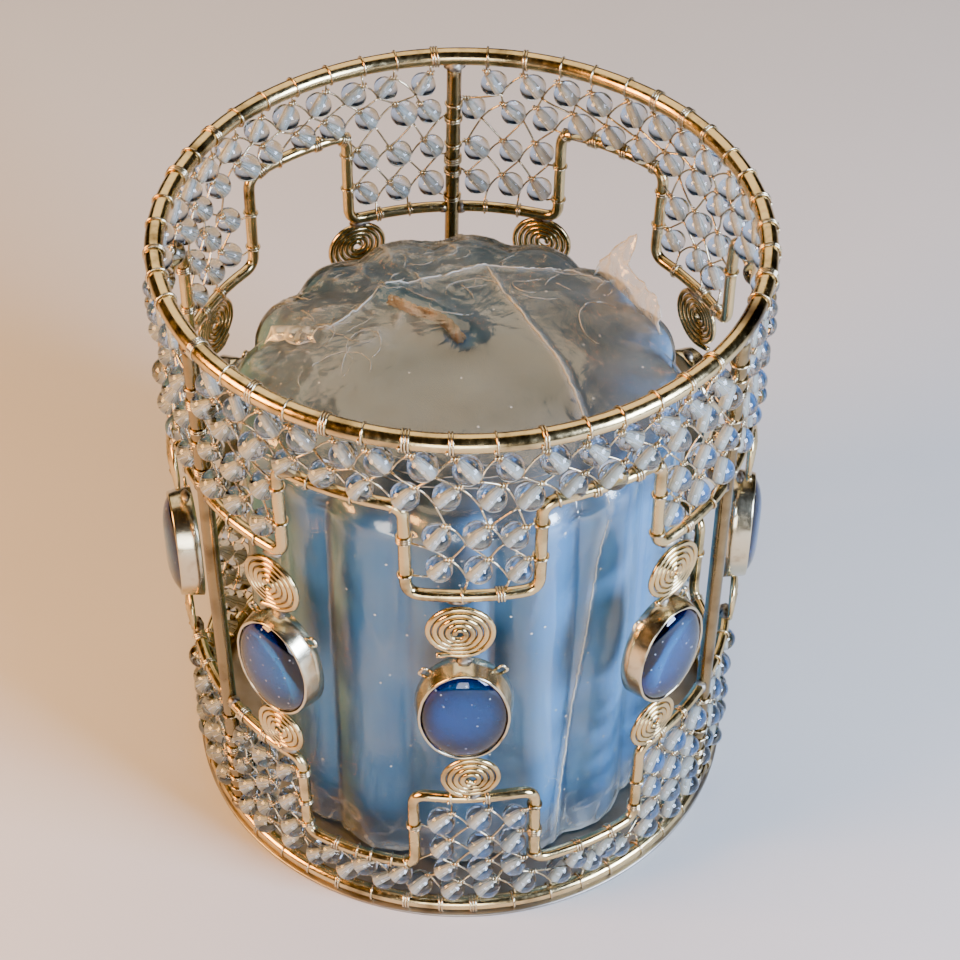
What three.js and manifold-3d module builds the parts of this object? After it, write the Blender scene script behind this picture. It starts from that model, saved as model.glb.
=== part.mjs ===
// Beaded wire candle holder with a fluted pillar candle, still in its clear shrink film.
//
// Two wire rings are joined by three uprights. Nine columns of coiled wire and blue glass
// cabochons hang between an upper and a lower bead net, each net edged by a bent wire. The
// lower ring is soldered to a flat plate, and the candle stands on that plate.
//
// Millimetres, +Z up. The origin is the middle of the plate's underside, and the column that
// faces -Y is the front one.

import * as THREE from 'three';
import { mergeVertices } from 'three/addons/utils/BufferGeometryUtils.js';
import Module from 'manifold-3d';

const wasm = await Module();
wasm.setup();

// Rings, plate and uprights
const TOP_RING_RADIUS = 60;
const RING_TAPER = 0.9;
const TOP_RING_WIRE = 3.8;
const BASE_RING_WIRE = 3.2;
const RING_SPACING = 139.3;
const PLATE_THICKNESS = 0.8;
const PLATE_OVERHANG = 0.4;
const UPRIGHT_WIRE = 3.2;
const UPRIGHTS = { back: 90, left: 210, right: 330 };
const BASE_TURN = 1.5;

// Columns of spirals and cabochons
const COLUMN_COUNT = 9;
const FRONT_COLUMN_AZIMUTH = 270;
const SPIRAL_WIRE = 1.2;
const SPIRAL_TURNS = 3;
const SPIRAL_EYE_RADIUS = 1;
const UPPER_SPIRAL_RADIUS = 7.1;
const LOWER_SPIRAL_RADIUS = 6.4;
const CABOCHON_WIDTH = 18;
const CABOCHON_HEIGHT = 25;
const CABOCHON_GIRDLE = 2.4;
const CABOCHON_DOME = 3.3;
const BEZEL_WALL = 0.7;
const BEZEL_FLOOR = 1;
const BEZEL_DEPTH = 5;
const BEZEL_SET_BACK = 2;
const UPPER_LUG = 3.2;
const LOWER_LUG = 1;
const LUG_WIDTH = 3;
const LUG_DEPTH = 1.6;

// Bent outline wires and the bead nets that they edge
const OUTLINE_WIRE = 2.5;
const OUTLINE_CORNER = 3;
const TAB_WIDTH = 26;
const TAB_PAST_COLUMN = 3.2;
const UPPER_BAND = 16.7;
const LOWER_BAND = 13.4;
const UPPER_TAB_EXTRA = 2.7;
const NET_THICKNESS = 4;
const NET_EDGE_GAP = 0.75;

// Candle, wick and shrink film
const CANDLE_CLEARANCE = 13.2;
const SHOULDER_HEIGHT = 103;
const SHOULDER_ROUND = 3;
const CANDLE_CROWN = 11;
const FLUTE_COUNT = 16;
const FLUTE_DEPTH = 2.6;
const CANDLE_TURN = -4.5;
const WICK_DIAMETER = 2.4;
const WICK_LENGTH = 20;
const WICK_AZIMUTH = 137;
const FILM_THICKNESS = 0.4;

// Fits and facet counts
const SOLDER_GAP = 0.3;
const GLASS_GAP = 0.3;
const RING_STEPS = 48;
const WIRE_SIDES = 8;
const THIN_WIRE_SIDES = 6;
const SPIRAL_SIDES = 4;
const SPIRAL_STEPS_PER_TURN = 9;
const OVAL_STEPS = 24;
const BEND_STEP = 9;
const CORNER_STEPS = 2;
const FLUTE_STEPS = 4;

// Sizes and heights that follow from the ones above
const BASE_RING_RADIUS = TOP_RING_RADIUS - RING_TAPER;
const BASE_RING_Z = PLATE_THICKNESS + SOLDER_GAP + BASE_RING_WIRE / 2;
const TOP_RING_Z = BASE_RING_Z + RING_SPACING;
const BEZEL_WIDTH = CABOCHON_WIDTH + 2 * (GLASS_GAP + BEZEL_WALL);
const BEZEL_HEIGHT = CABOCHON_HEIGHT + 2 * (GLASS_GAP + BEZEL_WALL);
const UPPER_HALF_STACK = BEZEL_HEIGHT / 2 + UPPER_LUG + 2 * UPPER_SPIRAL_RADIUS + 2 * SOLDER_GAP;
const LOWER_HALF_STACK = BEZEL_HEIGHT / 2 + LOWER_LUG + 2 * LOWER_SPIRAL_RADIUS + 2 * SOLDER_GAP;
const COLUMN_STACK = UPPER_HALF_STACK + LOWER_HALF_STACK + OUTLINE_WIRE;
const LOWER_TAB = (RING_SPACING - COLUMN_STACK - UPPER_TAB_EXTRA) / 2;
const UPPER_TAB = LOWER_TAB + UPPER_TAB_EXTRA;
const UPPER_TAB_Z = TOP_RING_Z - UPPER_TAB;
const LOWER_TAB_Z = BASE_RING_Z + LOWER_TAB;
const UPPER_BAND_Z = TOP_RING_Z - UPPER_BAND;
const LOWER_BAND_Z = BASE_RING_Z + LOWER_BAND;
const BEZEL_Z = UPPER_TAB_Z - OUTLINE_WIRE / 2 - UPPER_HALF_STACK;
const UPPER_SPIRAL_Z = UPPER_TAB_Z - OUTLINE_WIRE / 2 - SOLDER_GAP - UPPER_SPIRAL_RADIUS;
const LOWER_SPIRAL_Z = LOWER_TAB_Z + OUTLINE_WIRE / 2 + SOLDER_GAP + LOWER_SPIRAL_RADIUS;
const CANDLE_FOOT_Z = PLATE_THICKNESS + SOLDER_GAP;
const CANDLE_RADIUS = TOP_RING_RADIUS - CANDLE_CLEARANCE;

// Azimuths, in degrees from an upright, where the outline wires step up or down
const COLUMN_PITCH = 360 / COLUMN_COUNT;
const PANEL_ANGLE = 120;
const WIRE_START = degreesAlong(UPRIGHT_WIRE / 2 + SOLDER_GAP);
const WIDE_TAB_EDGE = COLUMN_PITCH / 2 + degreesAlong(TAB_PAST_COLUMN);
const NARROW_TAB_START = PANEL_ANGLE / 2 - degreesAlong(TAB_WIDTH / 2);

const MATERIALS = {
  polishedWire: { color: 0xc9b68e, roughness: 0.22, metalness: 1 },
  plate: { color: 0xb59a6c, roughness: 0.38, metalness: 1 },
  beads: { color: 0xa9c3dc, roughness: 0.12, metalness: 0 },
  cobaltGlass: { color: 0x17306e, roughness: 0.06, metalness: 0 },
  wax: { color: 0x7f9bb0, roughness: 0.5, metalness: 0 },
  wick: { color: 0x8d6f4c, roughness: 0.9, metalness: 0 },
  film: { color: 0xd7dfe2, roughness: 0.1, metalness: 0 },
};

// The angle, in degrees, that a length takes up along the wall of the holder.
function degreesAlong(length) {
  return THREE.MathUtils.radToDeg(length / TOP_RING_RADIUS);
}

// The wall that the rings and uprights lie on narrows a little towards the base ring, and the
// base ring is turned a little against the top one. Here 0 is the base ring and 1 the top one.
function wallShare(z) {
  return (z - BASE_RING_Z) / RING_SPACING;
}

function wallRadius(z) {
  return BASE_RING_RADIUS + (TOP_RING_RADIUS - BASE_RING_RADIUS) * wallShare(z);
}

function wallAngle(azimuth, z) {
  return THREE.MathUtils.degToRad(azimuth + BASE_TURN * (1 - wallShare(z)));
}

// A point at this azimuth and height, this far outside the wall.
function onWall(azimuth, z, outward = 0) {
  const angle = wallAngle(azimuth, z);
  const radius = wallRadius(z) + outward;
  return new THREE.Vector3(radius * Math.cos(angle), radius * Math.sin(angle), z);
}

// A curve that visits listed points in even steps, so a sweep puts one section at each.
class PointPath extends THREE.Curve {
  constructor(points) {
    super();
    this.points = points;
  }

  getPoint(t) {
    const place = t * (this.points.length - 1);
    const index = Math.min(Math.floor(place), this.points.length - 2);
    return this.points[index].clone().lerp(this.points[index + 1], place - index);
  }

  getTangent(t) {
    const step = 0.5 / (this.points.length - 1);
    const ahead = this.getPoint(Math.min(t + step, 1));
    return ahead.sub(this.getPoint(Math.max(t - step, 0))).normalize();
  }

  getUtoTmapping(u) {
    return u;
  }
}

function roundSection(diameter, sides) {
  const section = new THREE.Shape();
  for (let i = 0; i < sides; i += 1) {
    const angle = (i / sides) * 2 * Math.PI;
    const x = (diameter / 2) * Math.cos(angle);
    const y = (diameter / 2) * Math.sin(angle);
    if (i === 0) section.moveTo(x, y);
    else section.lineTo(x, y);
  }
  return section;
}

function wireAlong(points, diameter, sides) {
  return new THREE.ExtrudeGeometry(roundSection(diameter, sides), {
    steps: points.length - 1,
    extrudePath: new PointPath(points),
  });
}

// A geometry as a manifold solid, and a manifold solid as a geometry.
function toSolid(geometry) {
  const bare = geometry.clone();
  bare.deleteAttribute('normal');
  bare.deleteAttribute('uv');
  const merged = mergeVertices(bare, 1e-4);
  const vertProperties = new Float32Array(merged.attributes.position.array);
  const triVerts = new Uint32Array(merged.index.array);
  return new wasm.Manifold(new wasm.Mesh({ numProp: 3, vertProperties, triVerts }));
}

function toGeometry(solid) {
  const mesh = solid.getMesh();
  const geometry = new THREE.BufferGeometry();
  geometry.setAttribute('position', new THREE.BufferAttribute(mesh.vertProperties, 3));
  geometry.setIndex(new THREE.BufferAttribute(mesh.triVerts, 1));
  geometry.computeVertexNormals();
  return geometry;
}

function ringGeometry(radius, wire) {
  const profile = [];
  for (let i = 0; i <= WIRE_SIDES; i += 1) {
    const angle = ((i % WIRE_SIDES) / WIRE_SIDES) * 2 * Math.PI;
    profile.push(new THREE.Vector2(radius + (wire / 2) * Math.cos(angle), (wire / 2) * Math.sin(angle)));
  }
  return new THREE.LatheGeometry(profile, RING_STEPS).rotateX(Math.PI / 2);
}

function plateGeometry() {
  const radius = BASE_RING_RADIUS + BASE_RING_WIRE / 2 + PLATE_OVERHANG;
  const disc = new THREE.CylinderGeometry(radius, radius, PLATE_THICKNESS, RING_STEPS);
  return disc.rotateX(Math.PI / 2).translate(0, 0, PLATE_THICKNESS / 2);
}

function uprightGeometry(azimuth) {
  const foot = onWall(azimuth, BASE_RING_Z + BASE_RING_WIRE / 2 + SOLDER_GAP);
  const head = onWall(azimuth, TOP_RING_Z - TOP_RING_WIRE / 2 - SOLDER_GAP);
  return wireAlong([foot, head], UPRIGHT_WIRE, WIRE_SIDES);
}

// The corners of one outline wire, from upright to upright, as distance round and height. It
// runs along the tab height at both ends and in the middle, and along the band height between.
function outlineCorners(tabZ, bandZ) {
  const edges = [
    WIDE_TAB_EDGE,
    NARROW_TAB_START,
    PANEL_ANGLE - NARROW_TAB_START,
    PANEL_ANGLE - WIDE_TAB_EDGE,
  ];
  const corners = [new THREE.Vector2(WIRE_START, tabZ)];
  edges.forEach((edge, i) => {
    const leaving = i % 2 === 0 ? tabZ : bandZ;
    const entering = i % 2 === 0 ? bandZ : tabZ;
    corners.push(new THREE.Vector2(edge, leaving), new THREE.Vector2(edge, entering));
  });
  corners.push(new THREE.Vector2(PANEL_ANGLE - WIRE_START, tabZ));
  return corners;
}

// Rounds each corner and splits the long runs, so that the wire follows the wall.
function roundedRun(corners) {
  const degreesPerUnit = degreesAlong(1);
  const flat = corners.map((corner) => new THREE.Vector2(corner.x / degreesPerUnit, corner.y));
  const path = new THREE.Path();
  path.moveTo(flat[0].x, flat[0].y);
  for (let i = 1; i < flat.length - 1; i += 1) {
    const before = flat[i].clone().lerp(flat[i - 1], OUTLINE_CORNER / flat[i].distanceTo(flat[i - 1]));
    const after = flat[i].clone().lerp(flat[i + 1], OUTLINE_CORNER / flat[i].distanceTo(flat[i + 1]));
    path.lineTo(before.x, before.y);
    path.quadraticCurveTo(flat[i].x, flat[i].y, after.x, after.y);
  }
  path.lineTo(flat.at(-1).x, flat.at(-1).y);
  const points = path.getPoints(CORNER_STEPS);
  const run = [points[0]];
  for (const point of points.slice(1)) {
    const last = run.at(-1);
    const pieces = Math.ceil(last.distanceTo(point) / BEND_STEP);
    for (let i = 1; i <= pieces; i += 1) run.push(last.clone().lerp(point, i / pieces));
  }
  return run.map((point) => new THREE.Vector2(point.x * degreesPerUnit, point.y));
}

function outlineGeometry(uprightAzimuth, tabZ, bandZ) {
  const run = roundedRun(outlineCorners(tabZ, bandZ));
  const points = run.map((point) => onWall(uprightAzimuth + point.x, point.y));
  return wireAlong(points, OUTLINE_WIRE, THIN_WIRE_SIDES);
}

// A block of wall between two azimuths and two heights, bent to the wall's curve.
function wallBlock(from, to, lowZ, highZ, thickness) {
  const columns = Math.ceil((to - from) / degreesAlong(BEND_STEP));
  const block = new THREE.BoxGeometry(1, 1, 1, columns, 1, 1);
  const position = block.attributes.position;
  for (let i = 0; i < position.count; i += 1) {
    const azimuth = THREE.MathUtils.lerp(to, from, position.getX(i) + 0.5);
    const z = THREE.MathUtils.lerp(lowZ, highZ, position.getY(i) + 0.5);
    const point = onWall(azimuth, z, -position.getZ(i) * thickness);
    position.setXYZ(i, point.x, point.y, point.z);
  }
  return block;
}

// The bead net between one ring and its outline wire: a slab with two windows cut from it.
function netGeometry(uprightAzimuth, ringEdgeZ, tabZ, bandZ) {
  const side = Math.sign(ringEdgeZ - tabZ);
  const inset = side * (OUTLINE_WIRE / 2 + NET_EDGE_GAP);
  const turnInset = degreesAlong(OUTLINE_WIRE / 2 + NET_EDGE_GAP);
  const [low, high] = [ringEdgeZ, tabZ + inset].sort((a, b) => a - b);
  const [from, to] = [uprightAzimuth + WIRE_START, uprightAzimuth + PANEL_ANGLE - WIRE_START];
  let net = toSolid(wallBlock(from, to, low, high, NET_THICKNESS));
  const [sill, head] = [bandZ + inset, tabZ - inset].sort((a, b) => a - b);
  for (const start of [WIDE_TAB_EDGE, PANEL_ANGLE - NARROW_TAB_START]) {
    const width = NARROW_TAB_START - WIDE_TAB_EDGE;
    const left = uprightAzimuth + start - turnInset;
    const right = uprightAzimuth + start + width + turnInset;
    net = net.subtract(toSolid(wallBlock(left, right, sill, head, 3 * NET_THICKNESS)));
  }
  return toGeometry(net);
}

// A flat coil of wire in the XY plane. Its outer end is at the bottom.
function spiralGeometry(outerRadius) {
  const steps = SPIRAL_TURNS * SPIRAL_STEPS_PER_TURN;
  const points = [];
  for (let i = 0; i <= steps; i += 1) {
    const radius = THREE.MathUtils.lerp(SPIRAL_EYE_RADIUS, outerRadius - SPIRAL_WIRE / 2, i / steps);
    const angle = (2 * Math.PI * (i - steps)) / SPIRAL_STEPS_PER_TURN - Math.PI / 2;
    points.push(new THREE.Vector3(radius * Math.cos(angle), radius * Math.sin(angle), 0));
  }
  return wireAlong(points, SPIRAL_WIRE, SPIRAL_SIDES);
}

function ovalPrism(width, height, depth) {
  const outline = new THREE.Shape();
  outline.absellipse(0, 0, width / 2, height / 2, 0, 2 * Math.PI, false, 0);
  const settings = { depth, bevelEnabled: false, curveSegments: OVAL_STEPS / 2 };
  return new THREE.ExtrudeGeometry(outline, settings);
}

// A lug that starts inside the bezel's wall and reaches out above or below it.
function lugSolid(length, side) {
  const lug = new THREE.BoxGeometry(LUG_WIDTH, length + BEZEL_WALL, LUG_DEPTH);
  const middle = side * (BEZEL_HEIGHT / 2 + (length - BEZEL_WALL) / 2);
  return toSolid(lug.translate(0, middle, BEZEL_SET_BACK));
}

// An oval cup, open to the front, with a lug for the spiral above and one for the one below.
function bezelGeometry() {
  const cup = toSolid(ovalPrism(BEZEL_WIDTH, BEZEL_HEIGHT, BEZEL_DEPTH));
  const hollow = ovalPrism(BEZEL_WIDTH - 2 * BEZEL_WALL, BEZEL_HEIGHT - 2 * BEZEL_WALL, BEZEL_DEPTH);
  const body = cup.add(lugSolid(UPPER_LUG, 1)).add(lugSolid(LOWER_LUG, -1));
  return toGeometry(body.subtract(toSolid(hollow.translate(0, 0, BEZEL_FLOOR))));
}

// An oval stone with a flat back, a straight girdle and a domed front.
function cabochonGeometry() {
  const radius = CABOCHON_WIDTH / 2;
  const profile = [new THREE.Vector2(0, 0), new THREE.Vector2(radius, 0)];
  const domeSteps = 3;
  for (let i = 0; i <= domeSteps; i += 1) {
    const angle = (i / domeSteps) * (Math.PI / 2);
    const out = i === domeSteps ? 0 : radius * Math.cos(angle);
    profile.push(new THREE.Vector2(out, CABOCHON_GIRDLE + CABOCHON_DOME * Math.sin(angle)));
  }
  const stone = new THREE.LatheGeometry(profile, OVAL_STEPS).rotateX(Math.PI / 2);
  return stone.scale(1, CABOCHON_HEIGHT / CABOCHON_WIDTH, 1);
}

// How far the candle's flutes cut in at this angle, from 0 at a crest to 1 at a groove.
function fluteCut(angle) {
  return 1 - Math.abs(Math.cos((FLUTE_COUNT / 2) * angle));
}

// A turned solid about Z whose wide parts are fluted like the candle.
function flutedLathe(profile) {
  const body = new THREE.LatheGeometry(profile, FLUTE_COUNT * FLUTE_STEPS).rotateX(Math.PI / 2);
  const position = body.attributes.position;
  for (let i = 0; i < position.count; i += 1) {
    const x = position.getX(i);
    const y = position.getY(i);
    const radius = Math.hypot(x, y);
    const share = Math.min(radius / CANDLE_RADIUS, 1) ** 4;
    const scale = radius > 0 ? 1 - (FLUTE_DEPTH * share * fluteCut(Math.atan2(y, x))) / radius : 1;
    position.setXY(i, x * scale, y * scale);
  }
  return body.rotateZ(THREE.MathUtils.degToRad(CANDLE_TURN));
}

// The height of the candle's crowned top at this radius.
function crownZ(radius) {
  return CANDLE_FOOT_Z + SHOULDER_HEIGHT + CANDLE_CROWN * (1 - (radius / CANDLE_RADIUS) ** 2);
}

// The candle's outline from the middle of its top out and down to the side. A skin over it is
// grown outwards, and is lifted over the wick in the middle.
function crownProfile(grow, lift) {
  const stops = [
    [0, lift],
    [0.3, lift],
    [0.55, lift],
    [0.8, lift / 3],
    [0.94, 0],
  ];
  const top = stops.map(([share, raise]) => {
    const radius = share * CANDLE_RADIUS;
    return new THREE.Vector2(radius, crownZ(radius) + grow + raise);
  });
  const radius = CANDLE_RADIUS + grow;
  const sideTop = new THREE.Vector2(radius, CANDLE_FOOT_Z + SHOULDER_HEIGHT - SHOULDER_ROUND);
  return [...top, sideTop];
}

function waxGeometry() {
  const foot = [new THREE.Vector2(CANDLE_RADIUS, CANDLE_FOOT_Z), new THREE.Vector2(0, CANDLE_FOOT_Z)];
  return flutedLathe([...crownProfile(0, 0), ...foot].reverse());
}

// The wick is bent over and lies along the candle's top, from its middle outwards.
function wickGeometry() {
  const angle = THREE.MathUtils.degToRad(WICK_AZIMUTH);
  const points = [0, 0.2, 0.4, 0.6, 0.8, 1].map((share) => {
    const radius = share * WICK_LENGTH;
    const z = crownZ(radius) + SOLDER_GAP + WICK_DIAMETER / 2;
    return new THREE.Vector3(radius * Math.cos(angle), radius * Math.sin(angle), z);
  });
  return wireAlong(points, WICK_DIAMETER, THIN_WIRE_SIDES);
}

// A thin skin over the top and sides of the candle, open underneath.
function filmGeometry() {
  const lift = WICK_DIAMETER + 2 * SOLDER_GAP;
  const inner = crownProfile(SOLDER_GAP, lift);
  const outer = crownProfile(SOLDER_GAP + FILM_THICKNESS, lift);
  const hem = [SOLDER_GAP, SOLDER_GAP + FILM_THICKNESS].map(
    (grow) => new THREE.Vector2(CANDLE_RADIUS + grow, CANDLE_FOOT_Z),
  );
  return flutedLathe([...inner, ...hem, ...outer.reverse()]);
}

const group = new THREE.Group();

function addPiece(name, geometry, finish) {
  const mesh = new THREE.Mesh(geometry, new THREE.MeshStandardMaterial(MATERIALS[finish]));
  mesh.name = name;
  group.add(mesh);
  return mesh;
}

// Turns a piece made in the XY plane to stand on the wall, facing outwards.
function standOnWall(mesh, azimuth, z, outward) {
  mesh.position.copy(onWall(azimuth, z, outward));
  mesh.rotation.set(Math.PI / 2, 0, wallAngle(azimuth, z) + Math.PI / 2, 'ZXY');
}

function addFrame() {
  const topRing = addPiece('top_ring', ringGeometry(TOP_RING_RADIUS, TOP_RING_WIRE), 'polishedWire');
  topRing.position.z = TOP_RING_Z;
  const baseRing = addPiece('base_ring', ringGeometry(BASE_RING_RADIUS, BASE_RING_WIRE), 'polishedWire');
  baseRing.position.z = BASE_RING_Z;
  addPiece('base_plate', plateGeometry(), 'plate');
  for (const [side, azimuth] of Object.entries(UPRIGHTS)) {
    addPiece(`upright_${side}`, uprightGeometry(azimuth), 'polishedWire');
  }
}

// Each panel runs anticlockwise from the upright that it is named after here.
function addPanels() {
  const panels = { left: UPRIGHTS.back, front: UPRIGHTS.left, right: UPRIGHTS.right };
  const upperEdge = TOP_RING_Z - TOP_RING_WIRE / 2 - SOLDER_GAP;
  const lowerEdge = BASE_RING_Z + BASE_RING_WIRE / 2 + SOLDER_GAP;
  for (const [side, azimuth] of Object.entries(panels)) {
    addPiece(`upper_outline_${side}`, outlineGeometry(azimuth, UPPER_TAB_Z, UPPER_BAND_Z), 'polishedWire');
    addPiece(`lower_outline_${side}`, outlineGeometry(azimuth, LOWER_TAB_Z, LOWER_BAND_Z), 'polishedWire');
    addPiece(`upper_net_${side}`, netGeometry(azimuth, upperEdge, UPPER_TAB_Z, UPPER_BAND_Z), 'beads');
    addPiece(`lower_net_${side}`, netGeometry(azimuth, lowerEdge, LOWER_TAB_Z, LOWER_BAND_Z), 'beads');
  }
}

function addColumn(number) {
  const azimuth = FRONT_COLUMN_AZIMUTH + (number - 1) * COLUMN_PITCH;
  const upper = addPiece(`upper_spiral_${number}`, spiralGeometry(UPPER_SPIRAL_RADIUS), 'polishedWire');
  standOnWall(upper, azimuth, UPPER_SPIRAL_Z, 0);
  const bezel = addPiece(`bezel_${number}`, bezelGeometry(), 'polishedWire');
  standOnWall(bezel, azimuth, BEZEL_Z, -BEZEL_SET_BACK);
  const stone = addPiece(`cabochon_${number}`, cabochonGeometry(), 'cobaltGlass');
  standOnWall(stone, azimuth, BEZEL_Z, BEZEL_FLOOR + GLASS_GAP - BEZEL_SET_BACK);
  const lower = addPiece(`lower_spiral_${number}`, spiralGeometry(LOWER_SPIRAL_RADIUS), 'polishedWire');
  standOnWall(lower, azimuth, LOWER_SPIRAL_Z, 0);
}

function addCandle() {
  addPiece('candle_wax', waxGeometry(), 'wax');
  addPiece('candle_wick', wickGeometry(), 'wick');
  addPiece('shrink_film', filmGeometry(), 'film');
}

addFrame();
addPanels();
for (let number = 1; number <= COLUMN_COUNT; number += 1) addColumn(number);
addCandle();

export default group;
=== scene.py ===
# Beaded wire candle holder with a fluted pillar candle, still in its clear shrink film.
#
# Lengths are in millimetres, and each mesh is turned to metres as it is made. The places of
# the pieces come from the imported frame. Azimuths are in degrees, anticlockwise from +X seen
# from above, so the front column is near 270. Seen from outside, azimuth grows to the right.

import math
import random

import bpy
import numpy as np
from mathutils import Matrix, Vector, noise


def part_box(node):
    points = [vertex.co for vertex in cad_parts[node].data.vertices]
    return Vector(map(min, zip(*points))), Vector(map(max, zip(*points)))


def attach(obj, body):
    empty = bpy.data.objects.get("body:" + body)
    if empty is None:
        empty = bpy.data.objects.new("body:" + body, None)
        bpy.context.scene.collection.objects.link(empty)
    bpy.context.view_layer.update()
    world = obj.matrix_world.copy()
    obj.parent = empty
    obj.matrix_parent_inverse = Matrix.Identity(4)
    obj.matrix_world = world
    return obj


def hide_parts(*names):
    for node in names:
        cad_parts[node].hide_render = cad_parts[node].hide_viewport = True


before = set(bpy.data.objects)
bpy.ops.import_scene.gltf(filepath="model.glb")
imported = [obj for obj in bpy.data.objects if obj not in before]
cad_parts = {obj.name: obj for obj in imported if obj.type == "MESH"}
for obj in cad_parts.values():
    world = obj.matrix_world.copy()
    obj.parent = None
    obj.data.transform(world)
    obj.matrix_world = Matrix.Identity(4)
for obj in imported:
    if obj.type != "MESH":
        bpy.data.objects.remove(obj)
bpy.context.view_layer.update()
MM = 0.001

# ---------------------------------------------------------------------------------------
# Studio: the camera, a pale matt board to stand on, and soft lights. The camera looks down
# at the holder from the front with a long lens. A warm light stands on the left and a cooler
# one on the right, as between a lamp and a window.
CAMERA_LENS = 90.45
CAMERA_SENSOR = 36
CAMERA_CLIP = 0.01
CAMERA_DISTANCE = 519.2
CAMERA_PITCH = math.radians(44.44)
CAMERA_TURN = math.radians(-2.37)
CAMERA_ROLL = math.radians(-0.667)
AIM = (4.0, -0.2, 74.3)
BOARD_HALF = 1500
BOARD_COLOUR = "#d6d3cd"
BOARD_MOTTLE = "#d2cfc9"
ROOM_COLOUR = "#7c8086"
ROOM_STRENGTH = 0.2
# Each light has a place, a width, a power in watts and a colour.
LIGHTS = [
    ("left_lamp", (-520, -150, 330), 250, 12.0, "#ffb968"),
    ("right_window", (540, -360, 330), 300, 25.0, "#c2d8ff"),
    ("overhead_panel", (-40, 420, 640), 760, 5.6, "#ffebce"),
    ("front_card", (-40, -640, 190), 260, 3.4, "#f4f6ff"),
]


def linear(hex_colour, alpha=1.0):
    """An sRGB hex colour as the linear RGBA that a shader takes."""
    channels = [int(hex_colour[i : i + 2], 16) / 255 for i in (1, 3, 5)]
    return [c / 12.92 if c <= 0.04045 else ((c + 0.055) / 1.055) ** 2.4 for c in channels] + [alpha]


def add_node(tree, kind, inputs, **settings):
    """Adds a node. Each input is a value to set or a socket to link from."""
    node = tree.nodes.new(kind)
    for name, value in settings.items():
        setattr(node, name, value)
    for key, value in inputs.items():
        if isinstance(value, bpy.types.NodeSocket):
            tree.links.new(value, node.inputs[key])
        else:
            node.inputs[key].default_value = value
    return node


def start_material(name):
    """A material with an empty node tree, and its object coordinates."""
    material = bpy.data.materials.new(name)
    material.use_nodes = True
    material.node_tree.nodes.clear()
    place = add_node(material.node_tree, "ShaderNodeTexCoord", {}).outputs["Object"]
    return material, material.node_tree, place


def make_object(name, parts, material):
    """One smooth mesh in metres from (vertices in millimetres, faces) parts."""
    vertices, faces, first = [], [], 0
    for part_vertices, part_faces in parts:
        vertices.append(np.asarray(part_vertices, float))
        faces += [[first + i for i in face] for face in part_faces]
        first += len(part_vertices)
    mesh = bpy.data.meshes.new(name)
    mesh.from_pydata(np.vstack(vertices) * MM, [], faces)
    mesh.materials.append(material)
    mesh.shade_smooth()
    piece = bpy.data.objects.new(name, mesh)
    bpy.context.scene.collection.objects.link(piece)
    return piece


turn = Matrix.Rotation(CAMERA_TURN, 3, "Z")
back = turn @ Vector((0, -math.cos(CAMERA_PITCH), math.sin(CAMERA_PITCH)))
roll = Matrix.Rotation(-CAMERA_ROLL, 3, back)
right = roll @ turn @ Vector((1, 0, 0))
up = roll @ turn @ Vector((0, math.sin(CAMERA_PITCH), math.cos(CAMERA_PITCH)))
camera_data = bpy.data.cameras.new("camera")
camera_data.lens = CAMERA_LENS
camera_data.sensor_width = CAMERA_SENSOR
camera_data.clip_start = CAMERA_CLIP
camera = bpy.data.objects.new("camera", camera_data)
camera.matrix_world = Matrix.Translation((Vector(AIM) + CAMERA_DISTANCE * back) * MM) @ Matrix(
    (right, up, back)
).transposed().to_4x4()
bpy.context.scene.collection.objects.link(camera)
bpy.context.scene.camera = camera

# Painted board: matt, with the faint mottle of a roller and a very low tooth.
board_paint, tree, place = start_material("matt_painted_board")
mottle = add_node(tree, "ShaderNodeTexNoise", {"Vector": place, "Scale": 1000 / 45, "Detail": 4.0})
paint = add_node(
    tree,
    "ShaderNodeMix",
    {0: mottle.outputs["Fac"], 6: linear(BOARD_MOTTLE), 7: linear(BOARD_COLOUR)},
    data_type="RGBA",
)
tooth = add_node(tree, "ShaderNodeTexNoise", {"Vector": place, "Scale": 1000 / 1.5, "Detail": 2.0})
bump = add_node(
    tree,
    "ShaderNodeBump",
    {"Strength": 0.15, "Distance": 0.1 * MM, "Height": tooth.outputs["Fac"]},
)
shader = add_node(
    tree,
    "ShaderNodeBsdfPrincipled",
    {"Base Color": paint.outputs[2], "Roughness": 0.75, "Normal": bump.outputs["Normal"]},
)
add_node(tree, "ShaderNodeOutputMaterial", {"Surface": shader.outputs["BSDF"]})
corners = [(-BOARD_HALF, -BOARD_HALF, 0), (BOARD_HALF, -BOARD_HALF, 0)]
corners += [(BOARD_HALF, BOARD_HALF, 0), (-BOARD_HALF, BOARD_HALF, 0)]
board = make_object("board", [(corners, [(0, 1, 2, 3)])], board_paint)

world = bpy.data.worlds.new("room")
world.use_nodes = True
world.node_tree.nodes["Background"].inputs["Color"].default_value = linear(ROOM_COLOUR)
world.node_tree.nodes["Background"].inputs["Strength"].default_value = ROOM_STRENGTH
bpy.context.scene.world = world
bpy.context.scene.view_settings.view_transform = "AgX"
bpy.context.scene.view_settings.look = "AgX - Punchy"
for name, position, width, power, colour in LIGHTS:
    lamp = bpy.data.lights.new(name, "AREA")
    lamp.shape = "SQUARE"
    lamp.size = width * MM
    lamp.energy = power
    lamp.color = linear(colour)[:3]
    holder = bpy.data.objects.new(name, lamp)
    holder.location = Vector(position) * MM
    aim = Vector(AIM) * MM - holder.location
    holder.rotation_euler = aim.to_track_quat("-Z", "Y").to_euler()
    bpy.context.scene.collection.objects.link(holder)

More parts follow.
